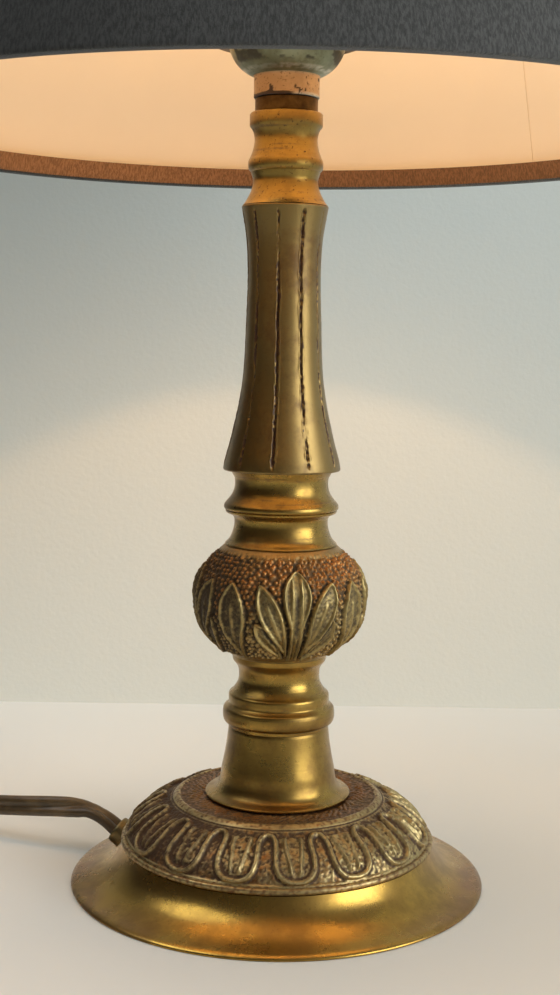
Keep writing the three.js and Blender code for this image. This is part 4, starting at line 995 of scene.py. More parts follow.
class RingRelief:
    """Ribs on the ring's plate, tongues on its band, and rough metal elsewhere."""

    def __init__(self, sizes, band, top):
        self.count = sizes.tongue_count
        self.stand = sizes.tongue_height
        self.heights, self.lengths, self.radii = arc_table(band.points)
        self.top = top

    def relief(self, bearing, radius, z):
        if z > self.top - 0.6 and radius < PLATE_RADIUS:
            return self.on_plate(bearing, radius, z) if radius > 20 else (0.0, 0.6, 1.0)
        if not self.heights[0] <= z <= self.heights[-1] or radius < self.radii[-1] - 0.5:
            rough = noise.noise(at_bearing(bearing, radius, z) * 0.9)
            return 0.0, 0.25 + 0.5 * rough, min(max(0.4 + rough, 0.0), 1.0)
        return self.on_band(bearing, radius, z)

    def on_plate(self, bearing, radius, z):
        """Slanting ribs on a rough ground."""
        place = at_bearing(bearing, radius, z)
        around = RIB_COUNT * (bearing + RIB_SLANT * (radius - RIBS_FROM))
        rib = 0.5 + 0.5 * math.cos(math.radians(around))
        near = smoothstep(radius, RIBS_FROM - 0.3, RIBS_FROM)
        near *= smoothstep(radius, RIBS_TO, RIBS_FADE)
        near *= smoothstep(noise.noise(place * 0.25), -0.5, 0.1)
        rough = noise.noise(place * 1.1) + 0.6 * noise.noise(place * 2.6)
        height = 0.42 * rib * near + 0.22 * rough
        return height, 0.5 - 0.55 * rib * near - 0.6 * rough, 1.0

    def on_band(self, bearing, radius, z):
        """Tongues with two ribs, on a rough ground between two plain edges."""
        up = looked_up(z, self.heights, self.lengths)
        left = self.lengths[-1] - up
        pitch = math.tau * radius / self.count
        away = abs(from_nearest(bearing, TONGUE_BEARING, self.count)) * self.count / 360
        away = round(away, 4)
        line = tongue_distance(away, round(up, 3), round(pitch, 3))
        place = at_bearing(bearing, radius, z)
        grain = noise.noise(place)
        cloud = noise.noise(place * 0.5)
        crumbs = max(noise.noise(place * 1.9), 0.0)
        ridge = smoothstep(line, RIDGE_REACH, 0.35 + 0.25 * grain)
        inside = 1.0 if away < tongue_side(up) and TONGUE_FOOT < up < TONGUE_TOP else 0.0
        rib_place = 0.07 + 0.10 * smoothstep(up, 2.0, TONGUE_TOP)
        beside = abs(away - rib_place) * pitch
        rib = inside * smoothstep(beside, RIB_REACH, 0.25 + 0.2 * grain)
        rib *= smoothstep(up, 2.6, 4.6) * smoothstep(up, 17.5, 15.5)
        height = max(ridge, 0.75 * rib * (1 + 0.4 * cloud))
        rim = smoothstep(up, 0.1, 0.8) * smoothstep(left, 0.7, 1.7)
        groove = smoothstep(left, 1.2, 0.7) * smoothstep(left, 0.0, 0.5)
        ground = 0.22 * grain + 0.3 * crumbs - 0.5
        out = rim * (height + ground * (1 - height)) + 0.1 * grain - 0.3 * groove
        under_arch = (1 - inside) * smoothstep(up, 10.0, 14.0)
        # Painted shade: both bearing terms below make the band darker and browner towards the left,
        # -X, away from the window light, and paler towards the right.
        painted_left_shade = smoothstep(bearing, -5.0, -60.0)
        beside_line = smoothstep(line, 0.7, RIDGE_REACH) * smoothstep(line, 1.9, 1.2)
        low_place = 0.38 + 0.3 * under_arch - 0.6 * grain - 0.3 * cloud - 0.4 * crumbs
        low_place += 0.6 * beside_line
        recess = rim * (1 - height) * low_place + 0.26 * height * (1 + 2 * grain)
        recess += 0.8 * groove + 0.45 * painted_left_shade * rim * (1 - 0.85 * height)
        rust = 0.5 + 0.9 * cloud - 0.3 * inside - 0.3 * math.sin(math.radians(bearing))
        own = rim * (1 - 0.8 * height) * rust
        own += (1 - rim) * 0.8 * smoothstep(noise.noise(place * 0.16), 0.05, 0.4)
        return self.stand * out, recess, min(max(own, 0.0), 1.0)


class LAMP_OT_tongue_ring(bpy.types.Operator):
    """Casts the ring of tongues, with its ribbed and grainy top"""

    bl_idname = "lamp.tongue_ring"
    bl_label = "Cast Ring"

    def execute(self, context):
        sizes = context.scene.lamp_sizes
        bottom, top = node_range("tongue_ring")
        band = Profile(50.6, bottom + 2.4).smooth(
            (48.9, 19.2), (45.6, 22.6), (41.4, 25.4), (37, 27.4), (34.9, 28.25), steps=12)
        plate, under = top - PLATE_DROP, top - PLATE_DROP - RING_WALL
        outer = Profile(51.3, bottom).bow(52.5, bottom + 0.2, 52.4, bottom + 1.1, 4)
        outer.bow(52.4, bottom + 2.1, 51.3, bottom + 2.2, 4).line(50.8, bottom + 2.1)
        outer.points += band.points
        outer.bow(34.3, 28.9, 33.5, top - 0.05, 6).bow(33, top, PLATE_RADIUS, plate, 4)
        outer.line(24.5, plate, 22).line(ROD_HOLE, plate)
        outer.line(ROD_HOLE, under).line(32, under).line(48.8, bottom)
        shape = spun_shape(outer.points, 56 * sizes.tongue_count, sizes.tongue_count)
        carve(shape, RingRelief(sizes, band, top).relief)
        ring = finish_shape(shape, "tongue_ring_cast", 60)
        settle(ring, "lamp", "cast_brass", "Cast Brass", "tongue_ring")
        return {"FINISHED"}


# Stem


class LAMP_OT_turned(bpy.types.Operator):
    """Turns the smooth pieces of the stem"""

    bl_idname = "lamp.turned"
    bl_label = "Turned Pieces"

    def execute(self, context):
        pieces = {
            "trumpet": self.trumpet(),
            "lower_collars": self.lower_collars(),
            "ring_neck": self.ring_neck(),
            "upper_neck": self.upper_neck(),
        }
        for node, profile in pieces.items():
            shape = spun_shape(profile.bored(ROD_HOLE).points, 144)
            dirt = 0.1 if node == "trumpet" else 0.42
            carve(shape, soiled(*node_range(node), dirt))
            finish = "Pitted Brass" if node == "upper_neck" else "Turned Brass"
            piece = finish_shape(shape, node + "_turned")
            settle(piece, "lamp", "antique_brass", finish, node)
        outer, tall = profile_of("spigot", 9.9)
        outer.line(10.07, 0.2).line(10.07, tall - 0.2).line(9.9, tall)
        spigot = spun("spigot_turned", outer.bored(ROD_HOLE).points)
        settle(spigot, "lamp", "dark_patina", "Dark Brass", "spigot")
        return {"FINISHED"}

    def trumpet(self):
        outer, tall = profile_of("trumpet", 24.0)
        return (
            outer.bow(24.3, 0, 24.2, 0.5, 3)
            .bow(23.9, 0.9, 22.9, 1.05, 3)
            .smooth((21.2, 1.8), (20.0, 3.4), (19.3, 5.6),
                    (18.85, 8.8), (18, 13), (17.25, 17.6),
                    (16.7, tall - 0.5), steps=5)
            .line(16.5, tall))

    def lower_collars(self):
        outer, tall = profile_of("lower_collars", 16.8)
        return (
            outer.line(16.85, 1)
            .bow(17.9, 1.1, 18.35, 2.1, 4)
            .smooth((18.62, 3.3), (18.62, 4.9), (18.45, 6), steps=4)
            .bow(18.2, 6.7, 17.5, 7, 4)
            .line(17.0, 7.6)
            .bow(16.6, 7.9, 16.75, 8.6, 3)
            .line(16.75, 10.3).bow(16.7, 11, 16.3, 11.3, 3)
            .line(15.85, 11.6)
            .smooth((15.2, 12.3), (14.2, 13.8), (13.6, 15.3),
                    (13.4, 17), (13.58, 19.2), (14.2, 20.7),
                    (15.1, 21.8), steps=4)
            .bow(15.5, 22.2, 15.6, 23, 3).line(15.66, tall))

    def ring_neck(self):
        outer, tall = profile_of("ring_neck", 18.5)
        return (
            outer.line(18.3, 0.4)
            .smooth((17.1, 1.6), (16.35, 3.1), (15.85, 4.5),
                    (15.5, 6), (15.4, 7.4), (15.6, 8.8),
                    (16.3, 9.7), steps=4)
            .line(17.7, 10.3).bow(18.4, 10.5, 18.4, 11.2, 4)
            .line(18.15, 11.5).bow(18.9, 11.6, 18.9, 12.3, 4)
            .bow(18.9, 13.2, 18.4, 13.7, 4)
            .smooth((17.3, 15), (16.3, 16.4), (15.7, 17.8),
                    (15.4, 19.2), (15.35, 20.6), (15.5, 21.9),
                    (16.1, 23), steps=4)
            .line(16.7, tall))

    def upper_neck(self):
        outer, tall = profile_of("upper_neck", 13.75)
        return (
            outer
            .smooth((12.9, 1.1), (12.05, 2.6), (11.2, 4.3),
                    (10.7, 6), (10.5, 7.6), (10.6, 8.7), steps=4)
            .line(11.1, 10.2).line(11.15, 10.6)
            .bow(11.8, 11, 12.05, 12, 4)
            .line(12.08, 13.6).bow(12, 14.3, 11.6, 14.8, 3)
            .smooth((11.2, 15.8), (10.55, 17.7), (10.12, 20.4),
                    (10.4, 22.6), (10.95, 24), steps=4)
            .bow(11.6, 24.6, 11.75, 25.2, 3)
            .line(11.75, tall - 0.5).line(11.4, tall))


LEAF_SURROUND = 1.2
STEM_HALF_WIDTH = 2.3
FINGER_PLACE = 1.5


class Leaf:
    """A leaf of the relief: a line from its foot to its tip, and its half width, in mm.

    Places are given along the surface from a palmette's middle and above the knop's foot.
    Widest is the share of its length where it is widest."""

    def __init__(self, foot, tip, half_width, widest=0.5, slit=False):
        self.foot = foot
        across, up = tip[0] - foot[0], tip[1] - foot[1]
        self.length = math.hypot(across, up)
        self.along = (across / self.length, up / self.length)
        self.half_width = half_width
        self.bend = math.log(0.5) / math.log(widest)
        self.slit = slit

    def relief(self, across, up):
        """How much a point stands out, whether it is inside the leaf, and if it is just outside."""
        grain = noise.noise(Vector((across, up, 0)) * 1.3)
        x, y = across - self.foot[0], up - self.foot[1]
        share = (x * self.along[0] + y * self.along[1]) / self.length
        beside = abs(x * self.along[1] - y * self.along[0])
        if not -0.06 < share < 1.06 or beside > self.half_width + LEAF_SURROUND:
            return 0.0, 0.0, 0.0
        share = min(max(share, 0.0), 1.0)
        width = self.half_width * math.sin(math.pi * share ** self.bend) ** 0.7
        if self.slit:
            width = max(width, STEM_HALF_WIDTH * smoothstep(share, 0.65, 0.5))
        inside = smoothstep(beside, width + 0.25, width - 0.15)
        border = smoothstep(beside, width - 0.1, width + 0.3)
        border *= smoothstep(beside, width + 1.0, width + 0.3)
        rim = smoothstep(abs(beside - width + 0.75), 0.95, 0.15)
        if self.slit:
            return self.fingers(rim, beside, share), inside, border
        return max(rim, self.fold(beside, share), 0.24 + 0.2 * grain), inside, border

    def fingers(self, rim, beside, share):
        """A slit leaf's two fingers, inside its rim, and its stem."""
        finger = smoothstep(abs(beside - FINGER_PLACE), 1.0, 0.2)
        slit = smoothstep(beside, 0.75, 0.35) * smoothstep(share, 0.82, 0.74)
        stem = smoothstep(beside, 0.6, 0.2) * smoothstep(share, 0.36, 0.3)
        return max(max(rim, 0.75 * finger, 0.3) * (1 - slit), 0.7 * stem)

    def fold(self, beside, share):
        """The fold along the middle of a plain leaf."""
        fold = smoothstep(beside, 1.1, 0.3)
        return 0.6 * fold * smoothstep(share, 0.12, 0.3) * smoothstep(share, 0.84, 0.68)


# From the back to the front, so that a later leaf covers an earlier one.
LEAVES = [
    Leaf((3.6, 1.2), (13, 15.6), 4.3, 0.6),
    Leaf((-4.4, 2.2), (-13.8, 14.8), 3.2, 0.6),
    Leaf((2.6, 1.4), (12.8, 27.4), 4.2, 0.66),
    Leaf((-2.4, 2.2), (-12.4, 27.2), 3.8, 0.62),
    Leaf((0, 0.4), (0, 31.2), 4.8, 0.76, slit=True),
]
SINGLE_LEAF = Leaf((0, 1.2), (0, 27.2), 5.0, 0.6)
PALMETTE_BEARING = 11.4
KNOP_GIRTH = 28.0
KNOP_CORE = 15.5
PEBBLE = 1.85
PEBBLE_ROW = 1.6


def pebble_top(bearing, up, counts):
    """Round grains in staggered rows: 1 on top of one and 0 between them."""
    row = math.floor(up / PEBBLE_ROW)
    nearest = PEBBLE
    for i in (row - 1, row, row + 1):
        count = counts[min(max(i, 0), len(counts) - 1)]
        place = bearing / 360 * count + 0.5 * (i % 2)
        spot = round(place)
        seed = Vector((spot % count * 3.71, i * 5.3, 0.5))
        across = (place - spot - 0.55 * noise.noise(seed)) * PEBBLE
        along = up - (i + 0.5 + 0.6 * noise.noise(seed + Vector((0, 0, 9)))) * PEBBLE_ROW
        nearest = min(nearest, math.hypot(across, along) * (1 + 0.5 * noise.noise(seed * 1.7)))
    return smoothstep(nearest, 1.0, 0.1)


class KnopRelief:
    """Palmettes and single leaves on pebbles, with plain metal at both ends."""

    def __init__(self, sizes, points, low, tall):
        self.count = sizes.palmette_count
        self.stand = sizes.leaf_height
        self.low = low
        self.tall = tall
        self.heights, self.lengths, radii = arc_table(points)
        places = [(i + 0.5) * PEBBLE_ROW for i in range(math.ceil(self.lengths[-1] / PEBBLE_ROW))]
        girths = [looked_up(place, self.lengths, radii) for place in places]
        # How many pebbles each row round the knop holds.
        self.rows = [round(math.tau * girth / PEBBLE) for girth in girths]

    def relief(self, bearing, radius, z):
        up = z - self.low
        if radius < KNOP_CORE:
            return 0.0, 0.1, 0.0
        away = from_nearest(bearing, PALMETTE_BEARING, self.count)
        halfway = from_nearest(bearing, PALMETTE_BEARING + 180 / self.count, self.count)
        across = math.radians(away) * KNOP_GIRTH
        beyond = math.radians(halfway) * KNOP_GIRTH
        place = at_bearing(bearing, radius, z)
        rough = noise.noise(place * 0.8)
        fine = noise.noise(place * 2.4)
        pebble = pebble_top(bearing, looked_up(z, self.heights, self.lengths), self.rows)
        worn = 0.6 * smoothstep(up, self.tall - 2.8, self.tall - 1.2)
        pebble += worn * (0.5 - pebble)
        out = 0.8 * pebble - 0.35
        recess = 0.62 - 0.75 * pebble - 0.2 * worn
        own = 0.2 + 0.8 * smoothstep(up + 3 * rough - 0.06 * bearing, 14, 24)
        shown = [SINGLE_LEAF.relief(beyond, up)]
        shown += [leaf.relief(across, up) for leaf in LEAVES]
        own *= 1 - 0.6 * smoothstep(up, self.tall - 3.2, self.tall - 1.6)
        for body, inside, border in shown:
            out += (1.1 * body - out) * inside - 0.45 * border
            recess += (0.66 - 0.76 * body - recess) * inside + 0.55 * border
            own *= 1 - inside
        # Painted shade: the recess value is raised towards the left, -X, away from the window light.
        recess += 0.4 * smoothstep(bearing, -10, -60)
        fade = smoothstep(up, 0.9, 2.4) * smoothstep(up, self.tall - 1.0, self.tall - 1.9)
        out = out * (1 + 0.25 * rough) + 0.08 * fine
        return (self.stand * fade * (out - 0.2),
                min(recess, 1.0) * fade + 0.2 * rough + 0.15 * fine, own)


class LAMP_OT_knop(bpy.types.Operator):
    """Casts the knop, with palmettes and single leaves on a pebbled ground"""

    bl_idname = "lamp.knop"
    bl_label = "Knop"

    def execute(self, context):
        sizes = context.scene.lamp_sizes
        low, _ = node_range("knop")
        outer, tall = profile_of("knop", 16.0)
        outer.line(16.2, 0.4).bow(16.6, 1.1, 17.4, 1.2, 3)
        outer.smooth(
            (19.2, 2.2), (21.3, 4.2), (23.2, 6), (24.8, 7.9),
            (26.3, 10.2), (27.2, 12.6), (27.8, 15.4), (28.1, 18.4),
            (28.2, 21.4), (27.7, 24.4), (26.7, 27), (25.0, 29.8),
            (22.8, 32.7), (20.5, 34.7), steps=9)
        outer.line(18.9, tall - 0.4, 4).line(18.4, tall)
        cast = KnopRelief(sizes, outer.points, low, tall)
        shape = spun_shape(outer.bored(ROD_HOLE).points, 150 * sizes.palmette_count, 12)
        carve(shape, cast.relief)
        knop = finish_shape(shape, "knop_cast", 60)
        settle(knop, "lamp", "cast_brass", "Knop Brass", "knop")
        return {"FINISHED"}


FLUTE_BEARING = -9.2
COLUMN_CORE = 9


class FluteRelief:
    """Narrow, ragged grooves between broad, slightly rounded lobes."""

    def __init__(self, sizes, low, tall):
        self.count = sizes.flute_count
        self.depth = sizes.flute_depth
        self.lobe = 180 / self.count
        self.low = low
        self.tall = tall

    def relief(self, bearing, radius, z):
        if radius < COLUMN_CORE:
            return 0.0, 0.0, 0.0
        share = (z - self.low) / self.tall
        flute = round((bearing - FLUTE_BEARING) / (2 * self.lobe)) % self.count
        signed = from_nearest(bearing, FLUTE_BEARING, self.count)
        wander = 0.22 * noise.noise(Vector((flute * 7.1, z * 0.11, 1)))
        beside = abs(math.radians(signed) * radius - wander)
        slow = noise.noise(Vector((flute * 9.7, z * 0.045, 3)))
        quick = noise.noise(Vector((flute * 4.3 + bearing * 0.3, z * 0.8, 7)))
        width = 0.48 + 0.3 * slow + 0.6 * quick
        fade = smoothstep(share, 0.01, 0.05) * smoothstep(share, 0.985, 0.965)
        groove = smoothstep(beside, max(width, 0.1), 0.02)
        lip = smoothstep(abs(beside - width - 0.2), 0.3, 0.05)
        crown = 0.1 * (1 - abs(signed) / self.lobe) ** 2
        strength = smoothstep(slow + 0.9 * quick, -0.45, 0.25)
        depth = crown + (0.05 + self.depth * strength) * groove - 0.14 * lip * strength
        pits = noise.noise(Vector((bearing * 0.9, z * 1.7, 11)))
        edge = smoothstep(beside, width + 0.45, 0.7 * width)
        recess = edge * (0.1 + 0.8 * strength - 0.9 * pits) - 0.4 * lip
        return -fade * depth, fade * recess, 0.0


class LAMP_OT_column(bpy.types.Operator):
    """Makes the flared column with its narrow, ragged grooves"""

    bl_idname = "lamp.column"
    bl_label = "Column"

    def execute(self, context):
        low, _ = node_range("fluted_column")
        outer, tall = profile_of("fluted_column", 18.85)
        outer.bow(19.25, 0, 19.3, 0.6, 3)
        outer.smooth(
            (18.9, 3), (18.25, 5.5), (17.2, 9.2), (15.95, 14.5),
            (14.8, 19.7), (13.9, 24.9), (13.2, 30.1), (12.65, 37.9),
            (12.27, 48.3), (11.95, 57), (11.87, 64), (12.1, 71.4),
            (12.6, 76.5), (13.45, 81.6), (14.0, tall - 0.5), steps=8)
        outer.bow(14.1, tall - 0.05, 13.7, tall, 3)
        shape = spun_shape(outer.bored(ROD_HOLE).points, 600, 20)
        carve(shape, FluteRelief(context.scene.lamp_sizes, low, tall).relief)
        column = finish_shape(shape, "column_fluted", 45)
        settle(column, "lamp", "antique_brass", "Column Brass", "fluted_column")
        return {"FINISHED"}


# Lampholder and bulb


SLEEVE_HEIGHT = 6.9
HOLDER_CORE = 9
RING_BORE = 19.1


class LAMP_OT_holder(bpy.types.Operator):
    """Turns the lampholder's cap, shell and rings"""

    bl_idname = "lamp.holder"
    bl_label = "Lampholder"

    def execute(self, context):
        self.add_cap()
        self.add_shell()
        for node in ("shade_ring", "lock_ring"):
            self.add_ring(node)
        return {"FINISHED"}

    def add_cap(self):
        """The cap: plating on the dish and the inside, worn metal on the sleeve."""
        low, _ = node_range("holder_cap")
        shape = spun_shape(self.cap_section().points, 96)
        carve(shape, self.wear)
        cap = finish_shape(shape, "holder_cap_turned")
        settle(cap, "lamp", "worn_nickel", "Worn Plating", "holder_cap")
        cap.data.materials.append(material_of("Worn Sleeve"))
        for face in cap.data.polygons:
            outside = face.center.xy.length > HOLDER_CORE * MM
            face.material_index = int(outside and face.center.z < (low + SLEEVE_HEIGHT) * MM)

    def add_shell(self):
        """The straight shell round the bulb's cap."""
        low, high = node_range("holder_shell")
        shell = Profile(18.8, low).line(18.8, high - 0.8).bow(18.8, high, 18, high, 4)
        shell.line(14.9, high).line(14.9, high - 0.9).line(17.9, high - 0.9).line(17.9, low)
        piece = spun("holder_shell_turned", shell.points)
        settle(piece, "lamp", "worn_nickel", "Worn Plating", "holder_shell")

    def add_ring(self, node):
        """One of the two rings that hold the shade."""
        radius = node_radius(node)
        ring, tall = profile_of(node, radius - 0.7)
        ring.bow(radius, 0, radius, 0.7, 3)
        ring.line(radius, tall - 0.3).line(radius - 0.3, tall).bored(RING_BORE)
        piece = spun(node + "_turned", ring.points)
        settle(piece, "lamp", "dark_patina", "Dark Brass", node)

    def cap_section(self):
        """The straight sleeve, the shoulder and the dish, then the inside from the top down."""
        outer, tall = profile_of("holder_cap", 10.3)
        shoulder = SLEEVE_HEIGHT
        return (
            outer.line(10.53, 0.3)
            .line(10.5, 1.4, 4).line(10.5, shoulder - 0.6, 10)
            .bow(10.5, shoulder, 10.9, shoulder + 0.25, 3).line(11.4, shoulder + 0.3)
            .smooth((13.6, shoulder + 1.5), (15.6, shoulder + 3.2), (17.2, shoulder + 5.4),
                    (18.3, shoulder + 7.8), (18.8, tall), steps=7)
            .line(17.8, tall)
            .smooth((17.2, tall - 2), (16, shoulder + 5.6), (14.2, shoulder + 3.4),
                    (11.8, shoulder + 1.7), steps=3)
            .line(5.3, shoulder + 1.6).line(5.3, 0))

    def wear(self, bearing, radius, z):
        """Plating that is chipped from the sleeve, and dark in patches on the dish."""
        up = z - node_range("holder_cap")[0]
        place = at_bearing(bearing, radius, z)
        patch = noise.noise(place * 0.17)
        chip = noise.noise(place * 0.6)
        if radius < HOLDER_CORE:
            return 0.0, 0.3, 0.0
        if up < SLEEVE_HEIGHT:
            edge = smoothstep(up, 1.2 + 0.6 * chip, 0.5)
            bared = edge * smoothstep(bearing, 5, 25)
            spots = smoothstep(chip + 0.6 * patch, 0.28, 0.45)
            return 0.0, 1.1 * edge * smoothstep(bearing, 20, 0) + 0.8 * spots, bared
        up -= SLEEVE_HEIGHT
        line = smoothstep(abs(up - 1.3), 0.8, 0.3)
        line *= smoothstep(chip, -0.35, -0.05)
        dark = smoothstep(patch + 0.25 * chip, 0.02, 0.2)
        return 0.0, 0.75 * dark * smoothstep(up, 2, 4), line


GLASS_WALL = 1
THREAD_FOOT = 3.4
THREAD_PITCH = 3.2
THREAD_TURNS = 6


class LAMP_OT_bulb(bpy.types.Operator):
    """Blows the frosted bulb and rolls its screw cap"""

    bl_idname = "lamp.bulb"
    bl_label = "Bulb"

    def execute(self, context):
        self.glass()
        self.screw_cap()
        return {"FINISHED"}

    def glass(self):
        """A closed shell of glass: the outer and the inner outline, spun together."""
        low, high = node_range("bulb_glass")
        girth = node_radius("bulb_glass")
        widest = high - girth
        outer = (
            Profile(12.3, low).line(12.3, low + 9)
            .smooth((13, low + 14), (15.8, low + 24), (20.6, low + 37), (26.6, low + 50),
                    (girth - 1, widest - 9), (girth, widest), steps=4)
            .bow(girth, widest + 0.55 * girth, 0.707 * girth, high - 0.293 * girth, 8)
            .bow(0.41 * girth, high, 0, high, 8))
        shape = bmesh.new()
        ends = []
        edges = []
        for wall in (0, GLASS_WALL):
            line = [shape.verts.new((0, -max(radius - wall, 0) * MM,
                                     (height - wall * max(height - widest, 0) / girth) * MM))
                    for radius, height in outer.points]
            edges += [shape.edges.new(pair) for pair in zip(line, line[1:])]
            ends.append(line[0])
        edges.append(shape.edges.new(ends))
        bmesh.ops.spin(
            shape, geom=shape.verts[:] + edges, cent=(0, 0, 0), axis=(0, 0, 1), angle=math.tau,
            steps=64, use_merge=True, use_duplicate=False)
        bmesh.ops.remove_doubles(shape, verts=shape.verts[:], dist=1e-6)
        bmesh.ops.recalc_face_normals(shape, faces=shape.faces[:])
        glass = finish_shape(shape, "bulb_glass_blown", 60)
        settle(glass, "bulb", "frosted_glass", "Frosted Glass", "bulb_glass")
        glass.visible_shadow = False

    def screw_cap(self):
        """The cap with its rolled thread, open towards the glass."""
        cap, tall = profile_of("bulb_cap", 0)
        cap.line(9, 0).line(12.4, 2.8)
        for i in range(THREAD_TURNS):
            up = THREAD_FOOT + i * THREAD_PITCH
            cap.bow(13.25, up + 0.8, 12.4, up + 1.6, 4).bow(12.1, up + 2.4, 12.4, up + 3.2, 3)
        cap.line(13.1, THREAD_FOOT + THREAD_TURNS * THREAD_PITCH + 0.8).line(13.1, tall)
        cap.line(12.6, tall).line(11.9, tall - 4).line(11.9, 3.6).line(9, 1).line(0, 1)
        piece = spun("bulb_cap_rolled", cap.points, 64)
        settle(piece, "bulb", "plain_steel", "Plain Steel", "bulb_cap")


# Shade

FABRIC = 0.8
LINING_OUTSIDE = 1.1
LINING = 0.5
WIRE_DEPTH = 3.2
WIRE_RADIUS = 1.3
WIRE_END = 2.4
HEM_DEPTH = 4.8
RIM_RADIUS = 150
# How far the cone comes in for each millimetre of height.
LEAN = 0.25
EDGE_ROUND = 1.4
FOLD_ROUND = 1.2
LINING_END = 1.1
SEAM_BEARING = 138
SEAM_SWEEP = 6
SEAM_END = 5
SEAM_GAP = 0.02
SEAM_THICKNESS = 0.35
WIRE_SIDES = 12


def on_cone(depth, height):
    """A point of the shade: depth inside its outer face, height above its bottom rim."""
    low, _ = node_range("shade_cover")
    return RIM_RADIUS - LEAN * height - depth, low + height


class LAMP_OT_shade(bpy.types.Operator):
    """Covers and lines the conical shade and turns in its hems"""

    bl_idname = "lamp.shade"
    bl_label = "Shade"

    def execute(self, context):
        low, high = node_range("shade_cover")
        self.cover(high - low, context.scene.lamp_sizes.hem_width)
        self.lining(high - low)
        self.seam(high - low)
        self.wires(high - low)
        return {"FINISHED"}

    def cover(self, height, hem):
        """The velvet, folded in over the wires, with a hem inside that is painted brown as if lit by
        the bulb.
        """
        low, _ = node_range("shade_cover")
        fold = HEM_DEPTH + FABRIC
        cover = Profile(*on_cone(EDGE_ROUND, 0)).bow(*on_cone(0, 0), *on_cone(0, EDGE_ROUND), 4)
        cover.line(*on_cone(0, height - EDGE_ROUND), 24)
        cover.bow(*on_cone(0, height), *on_cone(EDGE_ROUND, height), 4)
        cover.line(*on_cone(fold - FOLD_ROUND, height)).bow(
            *on_cone(fold, height), *on_cone(fold, height - FOLD_ROUND), 4)
        cover.line(*on_cone(fold, height - hem), 3).line(*on_cone(HEM_DEPTH, height - hem))
        cover.line(*on_cone(HEM_DEPTH, height - FABRIC))
        cover.line(*on_cone(FABRIC, height - FABRIC)).line(*on_cone(FABRIC, FABRIC), 8)
        cover.line(*on_cone(HEM_DEPTH, FABRIC)).line(*on_cone(HEM_DEPTH, hem))
        cover.line(*on_cone(fold, hem)).line(*on_cone(fold, FOLD_ROUND), 3)
        cover.bow(*on_cone(fold, 0), *on_cone(fold - FOLD_ROUND, 0), 4)
        piece = spun("shade_cover_velvet", cover.points, 256, 60)
        settle(piece, "shade", "charcoal_velvet", "Charcoal Velvet", "shade_cover")
        # The hem's faces get the velvet's painted warm-lit copy.
        piece.data.materials.append(material_of("Warm Lit Hem"))
        for face in piece.data.polygons:
            radius, z = face.center.xy.length / MM, face.center.z / MM - low
            if face.normal.xy.dot(face.center.xy) < 0 and z > 0.6:
                face.material_index = int(radius < RIM_RADIUS - LEAN * z - HEM_DEPTH)

    def lining(self, height):
        """The sheet behind the cover."""
        first, last = LINING_END, height - LINING_END
        inside = LINING_OUTSIDE + LINING
        lining = Profile(*on_cone(LINING_OUTSIDE, first)).line(*on_cone(LINING_OUTSIDE, last), 8)
        lining.line(*on_cone(inside, last)).line(*on_cone(inside, first), 8)
        piece = spun("shade_lining_sheet", lining.points, 192, 60)
        settle(piece, "shade", "cream_lining", "Cream Lining", "shade_lining")

    def seam(self, height):
        """The overlap of the lining: a second layer, a strip of sheet from hem to hem."""
        shape = bmesh.new()
        outside = LINING_OUTSIDE + LINING + SEAM_GAP
        inside = outside + SEAM_THICKNESS
        low, high = SEAM_END, height - SEAM_END
        corners = []
        for depth, up in ((outside, low), (inside, low), (inside, high), (outside, high)):
            corners.append(shape.verts.new(at_bearing(SEAM_BEARING, *on_cone(depth, up)) * MM))
        face = shape.faces.new(corners)
        bmesh.ops.spin(
            shape, geom=[face], cent=(0, 0, 0), axis=(0, 0, 1), angle=math.radians(SEAM_SWEEP),
            steps=6, use_merge=False, use_duplicate=False)
        bmesh.ops.remove_doubles(shape, verts=shape.verts[:], dist=1e-6)
        bmesh.ops.recalc_face_normals(shape, faces=shape.faces[:])
        strip = finish_shape(shape, "shade_lining_seam", 40)
        settle(strip, "shade", "cream_lining", "Cream Lining")

    def wires(self, height):
        """The two wire rings, round in section, and the arms and fitter as rounded copies."""
        angles = [math.tau * i / WIRE_SIDES for i in range(WIRE_SIDES)]
        for node, up in (("shade_rim_wire", WIRE_END), ("shade_top_wire", height - WIRE_END)):
            radius, z = on_cone(WIRE_DEPTH, up)
            ring = [(radius + WIRE_RADIUS * math.cos(a), z + WIRE_RADIUS * math.sin(a))
                    for a in angles]
            piece = spun(node + "_round", ring, 160, 60)
            settle(piece, "shade", "white_wire", "White Wire", node)
        for node in ("shade_fitter", "shade_arm_1", "shade_arm_2", "shade_arm_3"):
            piece = rounded_copy(node, node + "_wire", 0.3, segments=2)
            settle(piece, "shade", "white_wire", "White Wire", node)


# Stage


STAGE_WIDTH = 3.0
TABLE_FRONT = 1.4
WALL_HEIGHT = 1.6
WALL_PAINTED_SHADE = (0.055, 0.045, 0.035)
ROOM_LEFT = (0.035, 0.028, 0.02)
ROOM_RIGHT = (0.22, 0.22, 0.20)


def surface_material(name, colour, uneven, scale, height, one_sided=False):
    """A painted surface. A one-sided one is a wall, with painted shade darkening it beyond the left
    of the view.
    """
    graph, shader, place = new_material(name)
    clouds = graph.noise(place, 3.0, 5.0)
    tone = graph.mix(clouds, rgba(Vector(colour) * uneven), rgba(colour))
    if one_sided:
        # Painted shade: the wall turns dark towards -X, beyond the left of the view.
        tone = graph.mix(graph.ramp(graph.across(place), -0.55, -0.13), rgba(WALL_PAINTED_SHADE), tone)
    graph.feed(shader, {"Base Color": tone, "Roughness": 0.7, "Specular IOR Level": 0.25})
    bump(graph, shader, graph.noise(place, scale, 4.0, 0.6), height)
    if one_sided:
        behind = graph.node("ShaderNodeNewGeometry").outputs["Backfacing"]
        clear = graph.node("ShaderNodeBsdfTransparent").outputs[0]
        both = graph.node("ShaderNodeMixShader", {0: behind, 1: shader.outputs[0], 2: clear})
        graph.feed(graph.tree.nodes["Material Output"], {"Surface": both.outputs[0]})
    return material_of(name)


